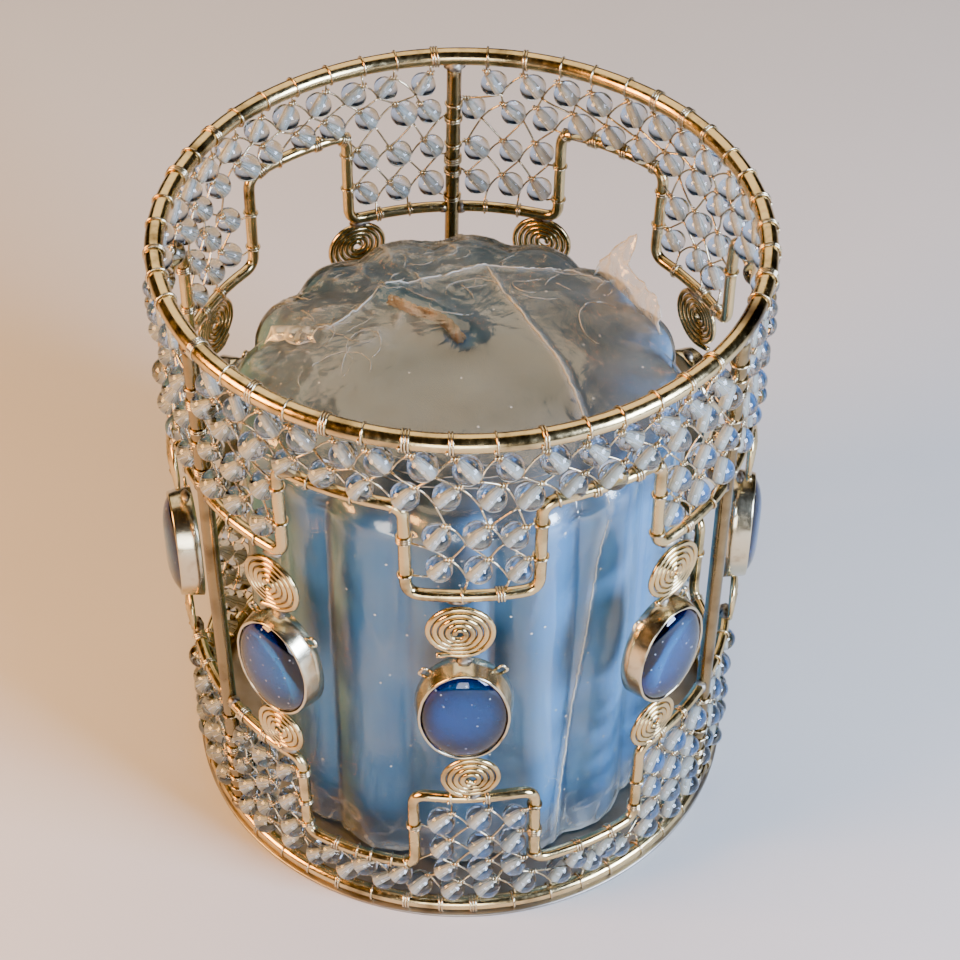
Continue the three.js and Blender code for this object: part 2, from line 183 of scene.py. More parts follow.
# ---------------------------------------------------------------------------------------
# Base plate: one disc cut from sheet steel, under the whole holder. Its edge is filed round
# and stands just proud of the base ring that is soldered on top of it.
PLATE_STEPS = 160
PLATE_EDGE_STEPS = 8
PLATE_INNER_SHARE = 0.6


def corners_of(node):
    """A frame node's lowest and highest corners, in millimetres."""
    return [np.array(corner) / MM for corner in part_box(node)]


def turned(profile, steps):
    """A solid turned about Z from (radius, z) points. An end at radius 0 closes to a point."""
    vertices, rings = [], []
    angles = np.arange(steps) * 2 * math.pi / steps
    for radius, z in profile:
        if radius == 0:
            rings.append([len(vertices)] * steps)
            vertices.append((0, 0, z))
            continue
        rings.append(list(range(len(vertices), len(vertices) + steps)))
        vertices += [(radius * math.cos(a), radius * math.sin(a), z) for a in angles]
    return np.array(vertices, float), ring_faces(rings)


def ring_faces(rings):
    """Faces between neighbouring rings of vertex numbers. A repeated number gives triangles."""
    faces = []
    for lower, upper in zip(rings, rings[1:]):
        for i in range(len(lower)):
            j = (i + 1) % len(lower)
            face = [lower[i], lower[j], upper[j], upper[i]]
            kept = [v for k, v in enumerate(face) if v != face[k - 1]]
            if len(kept) > 2:
                faces.append(kept)
    return faces


def mount(piece, body, slot, *nodes):
    """The piece rides on this body and stands for these nodes. The slot is not used."""
    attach(piece, body)
    if nodes:
        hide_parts(*nodes)


# Rolled sheet steel: satin from the rolls, with fine straight roll lines, dull patches
# where flux has dried, and a few brown heat stains.
plate_steel, tree, place = start_material("rolled_sheet_steel")
stretched = add_node(tree, "ShaderNodeMapping", {"Vector": place, "Scale": (1.0, 12.0, 1.0)})
roll_lines = add_node(
    tree,
    "ShaderNodeTexNoise",
    {"Vector": stretched.outputs["Vector"], "Scale": 1000 / 9, "Detail": 6.0},
)
stains = add_node(tree, "ShaderNodeTexNoise", {"Vector": place, "Scale": 1000 / 14, "Detail": 5.0})
stain_share = add_node(
    tree,
    "ShaderNodeMapRange",
    {"Value": stains.outputs["Fac"], "From Min": 0.45, "From Max": 0.72},
)
plate_colour = add_node(
    tree,
    "ShaderNodeMix",
    {0: stain_share.outputs["Result"], 6: linear("#a8a196"), 7: linear("#857a68")},
    data_type="RGBA",
)
plate_roughness = add_node(
    tree,
    "ShaderNodeMapRange",
    {"Value": roll_lines.outputs["Fac"], "To Min": 0.28, "To Max": 0.52},
)
bump = add_node(
    tree,
    "ShaderNodeBump",
    {"Strength": 0.3, "Distance": 0.05 * MM, "Height": roll_lines.outputs["Fac"]},
)
shader = add_node(
    tree,
    "ShaderNodeBsdfPrincipled",
    {
        "Base Color": plate_colour.outputs[2],
        "Metallic": 1.0,
        "Roughness": plate_roughness.outputs["Result"],
        "Normal": bump.outputs["Normal"],
    },
)
add_node(tree, "ShaderNodeOutputMaterial", {"Surface": shader.outputs["BSDF"]})

plate_high = corners_of("base_plate")[1]
plate_radius = plate_high[0]
plate_top = plate_high[2]
edge_round = plate_top / 2
plate_profile = [(0, 0), (plate_radius - edge_round, 0)]
for i in range(1, PLATE_EDGE_STEPS):
    angle = math.pi * (i / PLATE_EDGE_STEPS - 0.5)
    out = plate_radius - edge_round * (1 - math.cos(angle))
    plate_profile.append((out, edge_round * (1 + math.sin(angle))))
plate_profile += [(plate_radius - edge_round, plate_top)]
plate_profile += [(plate_radius * PLATE_INNER_SHARE, plate_top)]
plate_profile.append((0, plate_top))
vertices, faces = turned(plate_profile, PLATE_STEPS)
plate = make_object("base_plate_sheet", [(vertices, faces)], plate_steel)
mount(plate, "holder", "base_sheet", "base_plate")

# ---------------------------------------------------------------------------------------
# Rings: two hoops of round steel wire, bent by hand and butt-soldered. The top one is
# heavier. Neither is quite round or quite level, and the wire's thickness hardly changes.
RING_STEPS = 240
RING_SIDES = 20
RING_SWELL = 0.22
RING_LIFT = {"top_ring": 0.22, "base_ring": 0.1}
RING_PINCH = 0.012
NOISE_RADIUS = 60
# Where the torch browned both rings beside the right upright, and how far, in degrees.
BURN_AZIMUTH = 333
BURN_SPREAD = 5


def wavy(where, size, seed):
    """Smooth noise between -1 and 1 at each place, with waves about size millimetres long."""
    places = np.atleast_2d(where) / size
    return np.array([noise.noise(Vector(p) + Vector((seed, 2.3 * seed, 5.1))) for p in places])


def unit(vectors):
    """The same directions with a length of 1."""
    return vectors / np.linalg.norm(vectors, axis=-1, keepdims=True)


def swept(points, radius, sides, closed=False):
    """A round wire along points, cut flat at its ends. radius is one number or one a point."""
    points = np.asarray(points, float)
    count = len(points)
    radius = np.broadcast_to(radius, count)
    if closed:
        along = np.roll(points, -1, 0) - np.roll(points, 1, 0)
    else:
        along = np.gradient(points, axis=0)
    along = unit(along)
    side = np.cross(along[0], np.eye(3)[np.argmin(np.abs(along[0]))])
    angles = np.arange(sides) * 2 * math.pi / sides
    vertices = np.empty((count * sides, 3))
    for i in range(count):
        side = side - along[i] * np.dot(side, along[i])
        side /= np.linalg.norm(side)
        across = np.cross(along[i], side)
        ring = np.outer(np.cos(angles), side) + np.outer(np.sin(angles), across)
        vertices[i * sides : (i + 1) * sides] = points[i] + radius[i] * ring
    rings = [list(range(i * sides, (i + 1) * sides)) for i in range(count)]
    faces = ring_faces(rings + rings[:1] if closed else rings)
    if not closed:
        faces += [rings[0][::-1], rings[-1]]
    return vertices, faces


# Drawn steel wire, polished and flashed warm: bright, with soft streaks, thin tarnish in
# patches and the small dents of pliers. The draw lines are drawn coarser than they are.
# An attribute says how far each point of a wire is darkened: by the torch's browning on the rings,
# and as a painted dark reflection along the uprights.
wire_steel, tree, place = start_material("polished_drawn_wire")
tarnish = add_node(tree, "ShaderNodeTexNoise", {"Vector": place, "Scale": 1000 / 7, "Detail": 6.0})
tarnish_share = add_node(
    tree,
    "ShaderNodeMapRange",
    {"Value": tarnish.outputs["Fac"], "From Min": 0.5, "From Max": 0.78},
)
wire_colour = add_node(
    tree,
    "ShaderNodeMix",
    {0: tarnish_share.outputs["Result"], 6: linear("#dcc28c"), 7: linear("#62502f")},
    data_type="RGBA",
)
streaks = add_node(
    tree, "ShaderNodeTexNoise", {"Vector": place, "Scale": 1000 / 1.2, "Detail": 3.0}
)
wire_roughness = add_node(
    tree,
    "ShaderNodeMapRange",
    {
        "Value": streaks.outputs["Fac"],
        "From Min": 0.3,
        "From Max": 0.75,
        "To Min": 0.14,
        "To Max": 0.3,
    },
)
dents = add_node(tree, "ShaderNodeTexNoise", {"Vector": place, "Scale": 1000 / 2.6, "Detail": 2.0})
dent_bump = add_node(
    tree,
    "ShaderNodeBump",
    {"Strength": 0.35, "Distance": 0.12 * MM, "Height": dents.outputs["Fac"]},
)
bump = add_node(
    tree,
    "ShaderNodeBump",
    {
        "Strength": 0.12,
        "Distance": 0.03 * MM,
        "Height": streaks.outputs["Fac"],
        "Normal": dent_bump.outputs["Normal"],
    },
)
burn_and_dark_reflection = add_node(tree, "ShaderNodeAttribute", {}, attribute_name="burn_and_dark_reflection")
burn_and_reflection_colour = add_node(
    tree,
    "ShaderNodeMix",
    {0: burn_and_dark_reflection.outputs["Fac"], 6: wire_colour.outputs[2], 7: linear("#4b3c2b")},
    data_type="RGBA",
)
shader = add_node(
    tree,
    "ShaderNodeBsdfPrincipled",
    {
        "Base Color": burn_and_reflection_colour.outputs[2],
        "Metallic": 1.0,
        "Roughness": wire_roughness.outputs["Result"],
        "Normal": bump.outputs["Normal"],
    },
)
add_node(tree, "ShaderNodeOutputMaterial", {"Surface": shader.outputs["BSDF"]})


def darken_wire(piece, shares):
    """Write how far each point of a wire is darkened, from 0 to 1: torch browning on the rings,
    painted dark reflection on the uprights.
    """
    darkened_points = piece.data.attributes.new("burn_and_dark_reflection", "FLOAT", "POINT")
    darkened_points.data.foreach_set("value", np.asarray(shares, np.float32))


ring_sizes = {}
for seed, ring in enumerate(("top_ring", "base_ring")):
    low, high = corners_of(ring)
    wire = high[2] - low[2]
    ring_sizes[ring] = (high[0] - wire / 2, (low[2] + high[2]) / 2, wire)
    radius, z, _ = ring_sizes[ring]
    angles = np.arange(RING_STEPS) * 2 * math.pi / RING_STEPS
    circle = np.stack([np.cos(angles), np.sin(angles), 0 * angles], 1)
    around = circle * NOISE_RADIUS
    swell = RING_SWELL * wavy(around, 25, seed)
    points = circle * (radius + swell)[:, None]
    points[:, 2] = z + RING_LIFT[ring] * wavy(around, 30, seed + 7)
    thickness = wire / 2 * (1 + RING_PINCH * wavy(around, 4, seed + 3))
    hoop = make_object(f"{ring}_hoop", [swept(points, thickness, RING_SIDES, True)], wire_steel)
    burn = np.exp(-(((np.degrees(angles) - BURN_AZIMUTH) / BURN_SPREAD) ** 2))
    darken_wire(hoop, np.repeat(burn, RING_SIDES))
    mount(hoop, "holder", "polished_wire", ring)

top_radius, top_z, top_wire = ring_sizes["top_ring"]
base_radius, base_z, base_wire = ring_sizes["base_ring"]

# ---------------------------------------------------------------------------------------
# Uprights: three straight lengths of the same wire between the rings, at the back and at
# the front on both sides. They are cut by eye and soldered, so each bows a little.
UPRIGHTS = {"back": 90, "left": 210, "right": 330}
UPRIGHT_STEPS = 40
UPRIGHT_SIDES = 16
UPRIGHT_INSET = 0.3
UPRIGHT_PINCH = 0.015
# The uprights are darkened all along by this share, as a painted dark reflection.
UPRIGHT_DARK_REFLECTION = 0.65
UPRIGHT_BOW = 0.35

upright_low, upright_high = corners_of("upright_back")
upright_wire = upright_high[1] - upright_low[1] - (top_radius - base_radius)
base_turn = math.degrees(math.asin((-upright_low[0] - upright_wire / 2) / base_radius))


def wall(azimuth, z, out=0.0):
    """Points on the wall of rings and uprights. It narrows and turns towards the base."""
    share = (np.asarray(z, float) - base_z) / (top_z - base_z)
    radius = base_radius + (top_radius - base_radius) * share + out
    angle = np.radians(azimuth + base_turn * (1 - share))
    return np.stack([radius * np.cos(angle), radius * np.sin(angle), z + 0 * angle], -1)


def wall_axes(azimuth, z):
    """Unit vectors to the right, up and outwards at a place on the wall, seen from outside."""
    inner, outer = wall(azimuth, z), wall(azimuth, z, 1.0)
    outwards = unit(outer - inner)
    upwards = np.array([0.0, 0.0, 1.0])
    return np.cross(upwards, outwards), upwards, outwards


host_wires = []
for seed, (side, azimuth) in enumerate(UPRIGHTS.items()):
    foot, head = base_z + base_wire * UPRIGHT_INSET, top_z - top_wire * UPRIGHT_INSET
    heights = np.linspace(foot, head, UPRIGHT_STEPS)
    share = (heights - base_z) / (top_z - base_z)
    points = wall(azimuth, heights)
    points += UPRIGHT_BOW * np.sin(math.pi * share)[:, None] * wavy(points, 60, seed + 11)[:, None]
    thickness = upright_wire / 2 * (1 + UPRIGHT_PINCH * wavy(points, 5, seed + 13))
    rod = swept(points, thickness, UPRIGHT_SIDES)
    post = make_object(f"upright_{side}_wire", [rod], wire_steel)
    # The whole upright is darkened as a painted dark reflection.
    darken_wire(post, np.full(len(post.data.vertices), UPRIGHT_DARK_REFLECTION))
    mount(post, "holder", "polished_wire", f"upright_{side}")
    host_wires.append((points, upright_wire / 2))

# ---------------------------------------------------------------------------------------
# Outline wires: thinner wire bent with pliers into square steps. One edges each net from
# upright to upright, along the tabs and along the narrow band between them, with tight
# rounded corners.
PANELS = {"left": 90, "front": 210, "right": 330}
PANEL_ANGLE = 120
COLUMN_PITCH = 40
OUTLINE_WIRE = 2.5
OUTLINE_CORNER = 3.4
OUTLINE_SIDES = 14
OUTLINE_START = 0.35
OUTLINE_WAVE = 0.18
OUTLINE_PINCH = 0.02
BEND_ERROR = 0.5
TAB_WIDTH = 26
TAB_PAST_COLUMN = 3.2
CORNER_POINTS = 7
BEND_STEP = 1.6

degrees_per_mm = math.degrees(1 / top_radius)
wide_tab = COLUMN_PITCH / 2 + TAB_PAST_COLUMN * degrees_per_mm
narrow_tab = PANEL_ANGLE / 2 - TAB_WIDTH / 2 * degrees_per_mm
wire_start = upright_wire * OUTLINE_START * degrees_per_mm


def rounded(corners, radius):
    """A path in the plane through corners, each rounded, with points close together."""
    path = [corners[0]]
    for before, corner, after in zip(corners, corners[1:], corners[2:]):
        start = corner + radius * unit(before - corner)
        end = corner + radius * unit(after - corner)
        for share in np.linspace(0, 1, CORNER_POINTS):
            early, late = (1 - share) ** 2, share**2
            path.append(early * start + 2 * share * (1 - share) * corner + late * end)
    path.append(corners[-1])
    dense = [path[0]]
    for start, end in zip(path, path[1:]):
        pieces = max(1, math.ceil(np.linalg.norm(end - start) / BEND_STEP))
        dense += [start + (end - start) * i / pieces for i in range(1, pieces + 1)]
    return np.array(dense)


outline_heights = {}
for half in ("upper", "lower"):
    low, high = corners_of(f"{half}_outline_front")
    tab_z, band_z = low[2] + OUTLINE_WIRE / 2, high[2] - OUTLINE_WIRE / 2
    if half == "lower":
        tab_z, band_z = band_z, tab_z
    outline_heights[half] = (tab_z, band_z)
    for seed, (side, start) in enumerate(PANELS.items()):
        steps = [wide_tab, narrow_tab, PANEL_ANGLE - narrow_tab, PANEL_ANGLE - wide_tab]
        corners = [(wire_start, tab_z)]
        for i, azimuth in enumerate(steps):
            levels = (tab_z, band_z) if i % 2 == 0 else (band_z, tab_z)
            corners += [(azimuth, level) for level in levels]
        corners.append((PANEL_ANGLE - wire_start, tab_z))
        flat = np.array(corners) * (1 / degrees_per_mm, 1)
        bends = flat[1:-1] @ np.eye(2, 3)
        flat[1:-1] += np.stack([wavy(bends, 9, seed + k) for k in (21, 27)], 1) * BEND_ERROR
        path = rounded(flat, OUTLINE_CORNER)
        points = wall(start + path[:, 0] * degrees_per_mm, path[:, 1])
        points += OUTLINE_WAVE * wavy(points, 14, seed + 31)[:, None] * unit(points * (1, 1, 0))
        name = f"{half}_outline_{side}"
        thickness = OUTLINE_WIRE / 2 * (1 + OUTLINE_PINCH * wavy(points, 4, seed + 33))
        edge = make_object(f"{name}_wire", [swept(points, thickness, OUTLINE_SIDES)], wire_steel)
        mount(edge, "holder", "polished_wire", name)
        host_wires.append((points, OUTLINE_WIRE / 2))

# ---------------------------------------------------------------------------------------
# Frame joints: soft solder, run in with an iron where the uprights meet the rings and where
# the outline wires end on the uprights. Each is a small rough lump, dark where the flux
# burnt, and slightly different from the next.
LUMP_PROFILE_STEPS = 9
LUMP_STEPS = 14
JOINT_INSET = 0.55
RING_LUMP_WIDTH = (2.1, 2.7)
RING_LUMP_HEIGHT = (1.2, 1.7)
RING_LUMP_DEPTH = 1.9
EDGE_LUMP_WIDTH = (1.0, 1.6)
EDGE_LUMP_HEIGHT = (1.3, 1.7)
EDGE_LUMP_DEPTH = 1.4
EDGE_LUMP_OUT = 0.4
EDGE_LUMP_SHIFT = 0.2


def lump(centre, axes, half_sizes, seed):
    """A rough rounded body about centre, with half sizes along its three axes."""
    angles = np.linspace(0, math.pi, LUMP_PROFILE_STEPS)
    profile = [(math.sin(a), -math.cos(a)) for a in angles[1:-1]]
    vertices, faces = turned([(0, -1), *profile, (0, 1)], LUMP_STEPS)
    swell = 1 + 0.22 * wavy(vertices, 0.55, seed) + 0.1 * wavy(vertices, 0.2, seed + 1)
    local = vertices * swell[:, None] * np.array(half_sizes)
    return np.asarray(centre) + local @ np.array(axes), faces


# Tin solder: grey and satin with a pitted skin, burnt brown flux in the pits.
solder_tin, tree, place = start_material("burnt_soft_solder")
pits = add_node(
    tree, "ShaderNodeTexVoronoi", {"Vector": place, "Scale": 1000 / 0.8, "Randomness": 1.0}
)
flux = add_node(tree, "ShaderNodeTexNoise", {"Vector": place, "Scale": 1000 / 1.6, "Detail": 5.0})
flux_share = add_node(
    tree,
    "ShaderNodeMapRange",
    {"Value": flux.outputs["Fac"], "From Min": 0.42, "From Max": 0.62},
)
solder_colour = add_node(
    tree,
    "ShaderNodeMix",
    {0: flux_share.outputs["Result"], 6: linear("#a79d8c"), 7: linear("#3d3128")},
    data_type="RGBA",
)
solder_roughness = add_node(
    tree, "ShaderNodeMapRange", {"Value": flux.outputs["Fac"], "To Min": 0.3, "To Max": 0.65}
)
bump = add_node(
    tree,
    "ShaderNodeBump",
    {"Strength": 0.6, "Distance": 0.12 * MM, "Height": pits.outputs["Distance"]},
)
shader = add_node(
    tree,
    "ShaderNodeBsdfPrincipled",
    {
        "Base Color": solder_colour.outputs[2],
        "Metallic": 0.85,
        "Roughness": solder_roughness.outputs["Result"],
        "Normal": bump.outputs["Normal"],
    },
)
add_node(tree, "ShaderNodeOutputMaterial", {"Surface": shader.outputs["BSDF"]})

draw = random.Random(11)
lumps = []
for azimuth in UPRIGHTS.values():
    for z in (base_z + base_wire * JOINT_INSET, top_z - top_wire * JOINT_INSET):
        size = (draw.uniform(*RING_LUMP_WIDTH), draw.uniform(*RING_LUMP_HEIGHT), RING_LUMP_DEPTH)
        lumps.append(lump(wall(azimuth, z), wall_axes(azimuth, z), size, draw.randrange(99)))
    for z in (outline_heights["upper"][0], outline_heights["lower"][0]):
        for side in (-1, 1):
            out_of_upright = side * (upright_wire / 2 + EDGE_LUMP_OUT) * degrees_per_mm
            height = z + draw.uniform(-EDGE_LUMP_SHIFT, EDGE_LUMP_SHIFT)
            centre = wall(azimuth + out_of_upright, height)
            width, rise = draw.uniform(*EDGE_LUMP_WIDTH), draw.uniform(*EDGE_LUMP_HEIGHT)
            size = (width, rise, EDGE_LUMP_DEPTH)
            lumps.append(lump(centre, wall_axes(azimuth, z), size, draw.randrange(99)))
frame_solder = make_object("frame_solder", lumps, solder_tin)
mount(frame_solder, "holder", "polished_wire")

# ---------------------------------------------------------------------------------------
# Bead nets: clear pale blue glass beads with a white lining in the hole, strung slantwise on
# thin wire. The wire is knotted above each bead, crosses below it to make a diamond net, and
# is wrapped round the rings, the uprights and the outline wires at every edge.
BEAD_RADIUS = 2.9
BEAD_HOLE = 0.74
BEAD_STEPS = 20
CORE_WALL = 0.34
CORE_STEPS = 12
CORE_FIT = 0.02
CORE_LENGTH = 0.93
BEAD_ARC_POINTS = 12
NET_WIRE = 0.46
BEAD_PITCH = 7.5
BEAD_LEAN = (34, 47)
BEAD_TILT = 0.22
BEAD_JITTER = 0.45
BEAD_TURN_JITTER = 0.5
BEAD_SIZES = (0.94, 1.06)
BEAD_LENGTHS = (0.86, 0.98)
KNOT_RADIUS = 0.42
KNOT_LENGTH = 1.5
KNOT_TURNS = 2.4
KNOT_POINTS = 20
KNOT_OUT = 0.45
WIRE_BOW = 0.5
WIRE_STRAY = 0.3
CROSSING_STRAY = 0.35
WRAP_STEPS = 14
WRAP_PITCH = 1.25
WRAP_TURNS = (1.25, 1.25, 1.25, 2.25, 3.25)
UPPER_DROPS = (6.6, 13.8, 23.9, 33.3)
LOWER_RISES = (29.8, 20.8, 12.6, 6.4)
BAND_ROW_RISE = 10.0
HALF_TAB_PLACES = (4.9, 12.0, 19.1)
NARROW_TAB_PLACES = (-6.4, 0.8, 7.9)
EDGE_ROOM = 4.6
TAB_ROOM = 3
BETWEEN_SHIFT = 0.4
UNDER_SHIFT = 0.8
NET_WIRE_SIDES = 6
LINK_REACH = 8.2
WRAP_REACH = 6.6

# Pressed glass beads: smooth, clear, faintly blue and uneven inside, with a fire-polished skin.
bead_glass, tree, place = start_material("pale_blue_pressed_glass")
tint = add_node(tree, "ShaderNodeTexNoise", {"Vector": place, "Scale": 1000 / 5, "Detail": 2.0})
bead_colour = add_node(
    tree,
    "ShaderNodeMix",
    {0: tint.outputs["Fac"], 6: linear("#f2f7fc"), 7: linear("#abcbf2")},
    data_type="RGBA",
)
ripple = add_node(tree, "ShaderNodeTexNoise", {"Vector": place, "Scale": 1000 / 2, "Detail": 1.0})
bump = add_node(
    tree,
    "ShaderNodeBump",
    {"Strength": 0.2, "Distance": 0.08 * MM, "Height": ripple.outputs["Fac"]},
)
glass_roughness = add_node(
    tree, "ShaderNodeMapRange", {"Value": tint.outputs["Fac"], "To Min": 0.0, "To Max": 0.05}
)
shader = add_node(
    tree,
    "ShaderNodeBsdfPrincipled",
    {
        "Base Color": bead_colour.outputs[2],
        "Roughness": glass_roughness.outputs["Result"],
        "IOR": 1.5,
        "Transmission Weight": 1.0,
        "Normal": bump.outputs["Normal"],
    },
)
add_node(tree, "ShaderNodeOutputMaterial", {"Surface": shader.outputs["BSDF"]})

# White enamel lining, fired inside the hole: glossy and slightly uneven in cover.
core_enamel, tree, place = start_material("white_enamel_lining")
cover = add_node(tree, "ShaderNodeTexNoise", {"Vector": place, "Scale": 1000 / 1.2, "Detail": 3.0})
core_colour = add_node(
    tree,
    "ShaderNodeMix",
    {0: cover.outputs["Fac"], 6: linear("#fff6dc"), 7: linear("#f3e3b8")},
    data_type="RGBA",
)
core_roughness = add_node(
    tree, "ShaderNodeMapRange", {"Value": cover.outputs["Fac"], "To Min": 0.2, "To Max": 0.45}
)
bump = add_node(
    tree,
    "ShaderNodeBump",
    {"Strength": 0.2, "Distance": 0.05 * MM, "Height": cover.outputs["Fac"]},
)
shader = add_node(
    tree,
    "ShaderNodeBsdfPrincipled",
    {
        "Base Color": core_colour.outputs[2],
        "Roughness": core_roughness.outputs["Result"],
        "Normal": bump.outputs["Normal"],
    },
)
add_node(tree, "ShaderNodeOutputMaterial", {"Surface": shader.outputs["BSDF"]})

# Soft binding wire: bright and warm, its finish rubbed unevenly where it was pulled tight.
binding_wire, tree, place = start_material("soft_binding_wire")
rub = add_node(tree, "ShaderNodeTexNoise", {"Vector": place, "Scale": 1000 / 3, "Detail": 4.0})
binding_colour = add_node(
    tree,
    "ShaderNodeMix",
    {0: rub.outputs["Fac"], 6: linear("#f0e3c2"), 7: linear("#a98f63")},
    data_type="RGBA",
)
binding_roughness = add_node(
    tree, "ShaderNodeMapRange", {"Value": rub.outputs["Fac"], "To Min": 0.14, "To Max": 0.36}
)
shader = add_node(
    tree,
    "ShaderNodeBsdfPrincipled",
    {
        "Base Color": binding_colour.outputs[2],
        "Metallic": 1.0,
        "Roughness": binding_roughness.outputs["Result"],
    },
)
add_node(tree, "ShaderNodeOutputMaterial", {"Surface": shader.outputs["BSDF"]})

for ring_radius, ring_z, wire in ring_sizes.values():
    angles = np.arange(720) * math.pi / 360
    circle = np.stack([np.cos(angles), np.sin(angles), 0 * angles], 1) * ring_radius
    host_wires.append((circle + (0, 0, ring_z), wire / 2))
host_points = np.vstack([points for points, _ in host_wires])
host_along = np.vstack([unit(np.gradient(points, axis=0)) for points, _ in host_wires])
host_radius = np.concatenate([np.full(len(points), radius) for points, radius in host_wires])


def bead_shape(radius, hole):
    """A bead about Z with its hole, as a closed skin."""
    start = math.asin(hole / radius)
    angles = np.linspace(start, math.pi - start, BEAD_ARC_POINTS)
    outside = [(radius * math.sin(a), -radius * math.cos(a)) for a in angles]
    rim = radius * math.cos(start)
    inside = [(hole, rim * 0.9), (hole, 0.0), (hole, -rim * 0.9)]
    vertices, faces = turned(outside + inside, BEAD_STEPS)
    last = len(outside) + len(inside) - 1
    last_ring = list(range(last * BEAD_STEPS, (last + 1) * BEAD_STEPS))
    return vertices, faces + ring_faces([last_ring, list(range(BEAD_STEPS))])


def core_shape(outer, inner, half_length):
    """A tube about Z with square ends."""
    profile = [(outer, -half_length), (outer, half_length)]
    profile += [(inner, half_length), (inner, -half_length)]
    vertices, faces = turned(profile, CORE_STEPS)
    last_ring = list(range(3 * CORE_STEPS, 4 * CORE_STEPS))
    return vertices, faces + ring_faces([last_ring, list(range(CORE_STEPS))])


def bent(start, end, bow):
    """Points from start to end with a bow in the middle."""
    shares = np.linspace(0, 1, 6)[:, None]
    return start + (end - start) * shares + bow * (4 * shares * (1 - shares))


def wrap_to(point, turns):
    """Points that coil round the nearest edge wire and end at point."""
    nearest = np.argmin(np.linalg.norm(host_points - point, axis=1))
    host, along = host_points[nearest], host_along[nearest]
    towards = point - host
    towards = unit(towards - along * np.dot(towards, along))
    across = np.cross(along, towards)
    angles = np.linspace(-2 * math.pi * turns, 0, round(WRAP_STEPS * turns))[:, None]
    round_host = np.cos(angles) * towards + np.sin(angles) * across
    coil = (host_radius[nearest] + NET_WIRE / 2) * round_host
    slide = along * angles / (2 * math.pi) * NET_WIRE * WRAP_PITCH
    return np.vstack([host + coil + slide, point])


def host_distance(point):
    """How far the nearest edge wire's middle is from a point."""
    return np.min(np.linalg.norm(host_points - point, axis=1))


def bead_rows(half):
    """The rows of a panel from the top down: (z, places in degrees from its first upright)."""
    tabs = [*HALF_TAB_PLACES, *(PANEL_ANGLE / 2 + p for p in NARROW_TAB_PLACES)]
    tabs += [PANEL_ANGLE - p for p in reversed(HALF_TAB_PLACES)]
    count = round(PANEL_ANGLE / BEAD_PITCH)
    between = [BEAD_PITCH * (k + BETWEEN_SHIFT) for k in range(count)]
    between = [max(EDGE_ROOM, min(PANEL_ANGLE - EDGE_ROOM, p)) for p in between]
    under = [BEAD_PITCH * k - UNDER_SHIFT for k in range(1, count)]
    if half == "upper":
        places = (under, between, tabs, tabs)
        return [[(top_z - drop, p) for p in row] for drop, row in zip(UPPER_DROPS, places)]
    rows = [[(base_z + rise, p) for p in tabs] for rise in LOWER_RISES[:3]]
    edges = [(wide_tab, narrow_tab), (PANEL_ANGLE - narrow_tab, PANEL_ANGLE - wide_tab)]
    for low, high in edges:
        gaps = [p for p in under if low + TAB_ROOM < p < high - TAB_ROOM]
        rows[2] += [(base_z + BAND_ROW_RISE, p) for p in gaps]
    rows[2].sort(key=lambda bead: bead[1])
    return rows + [[(base_z + LOWER_RISES[3], p) for p in between]]


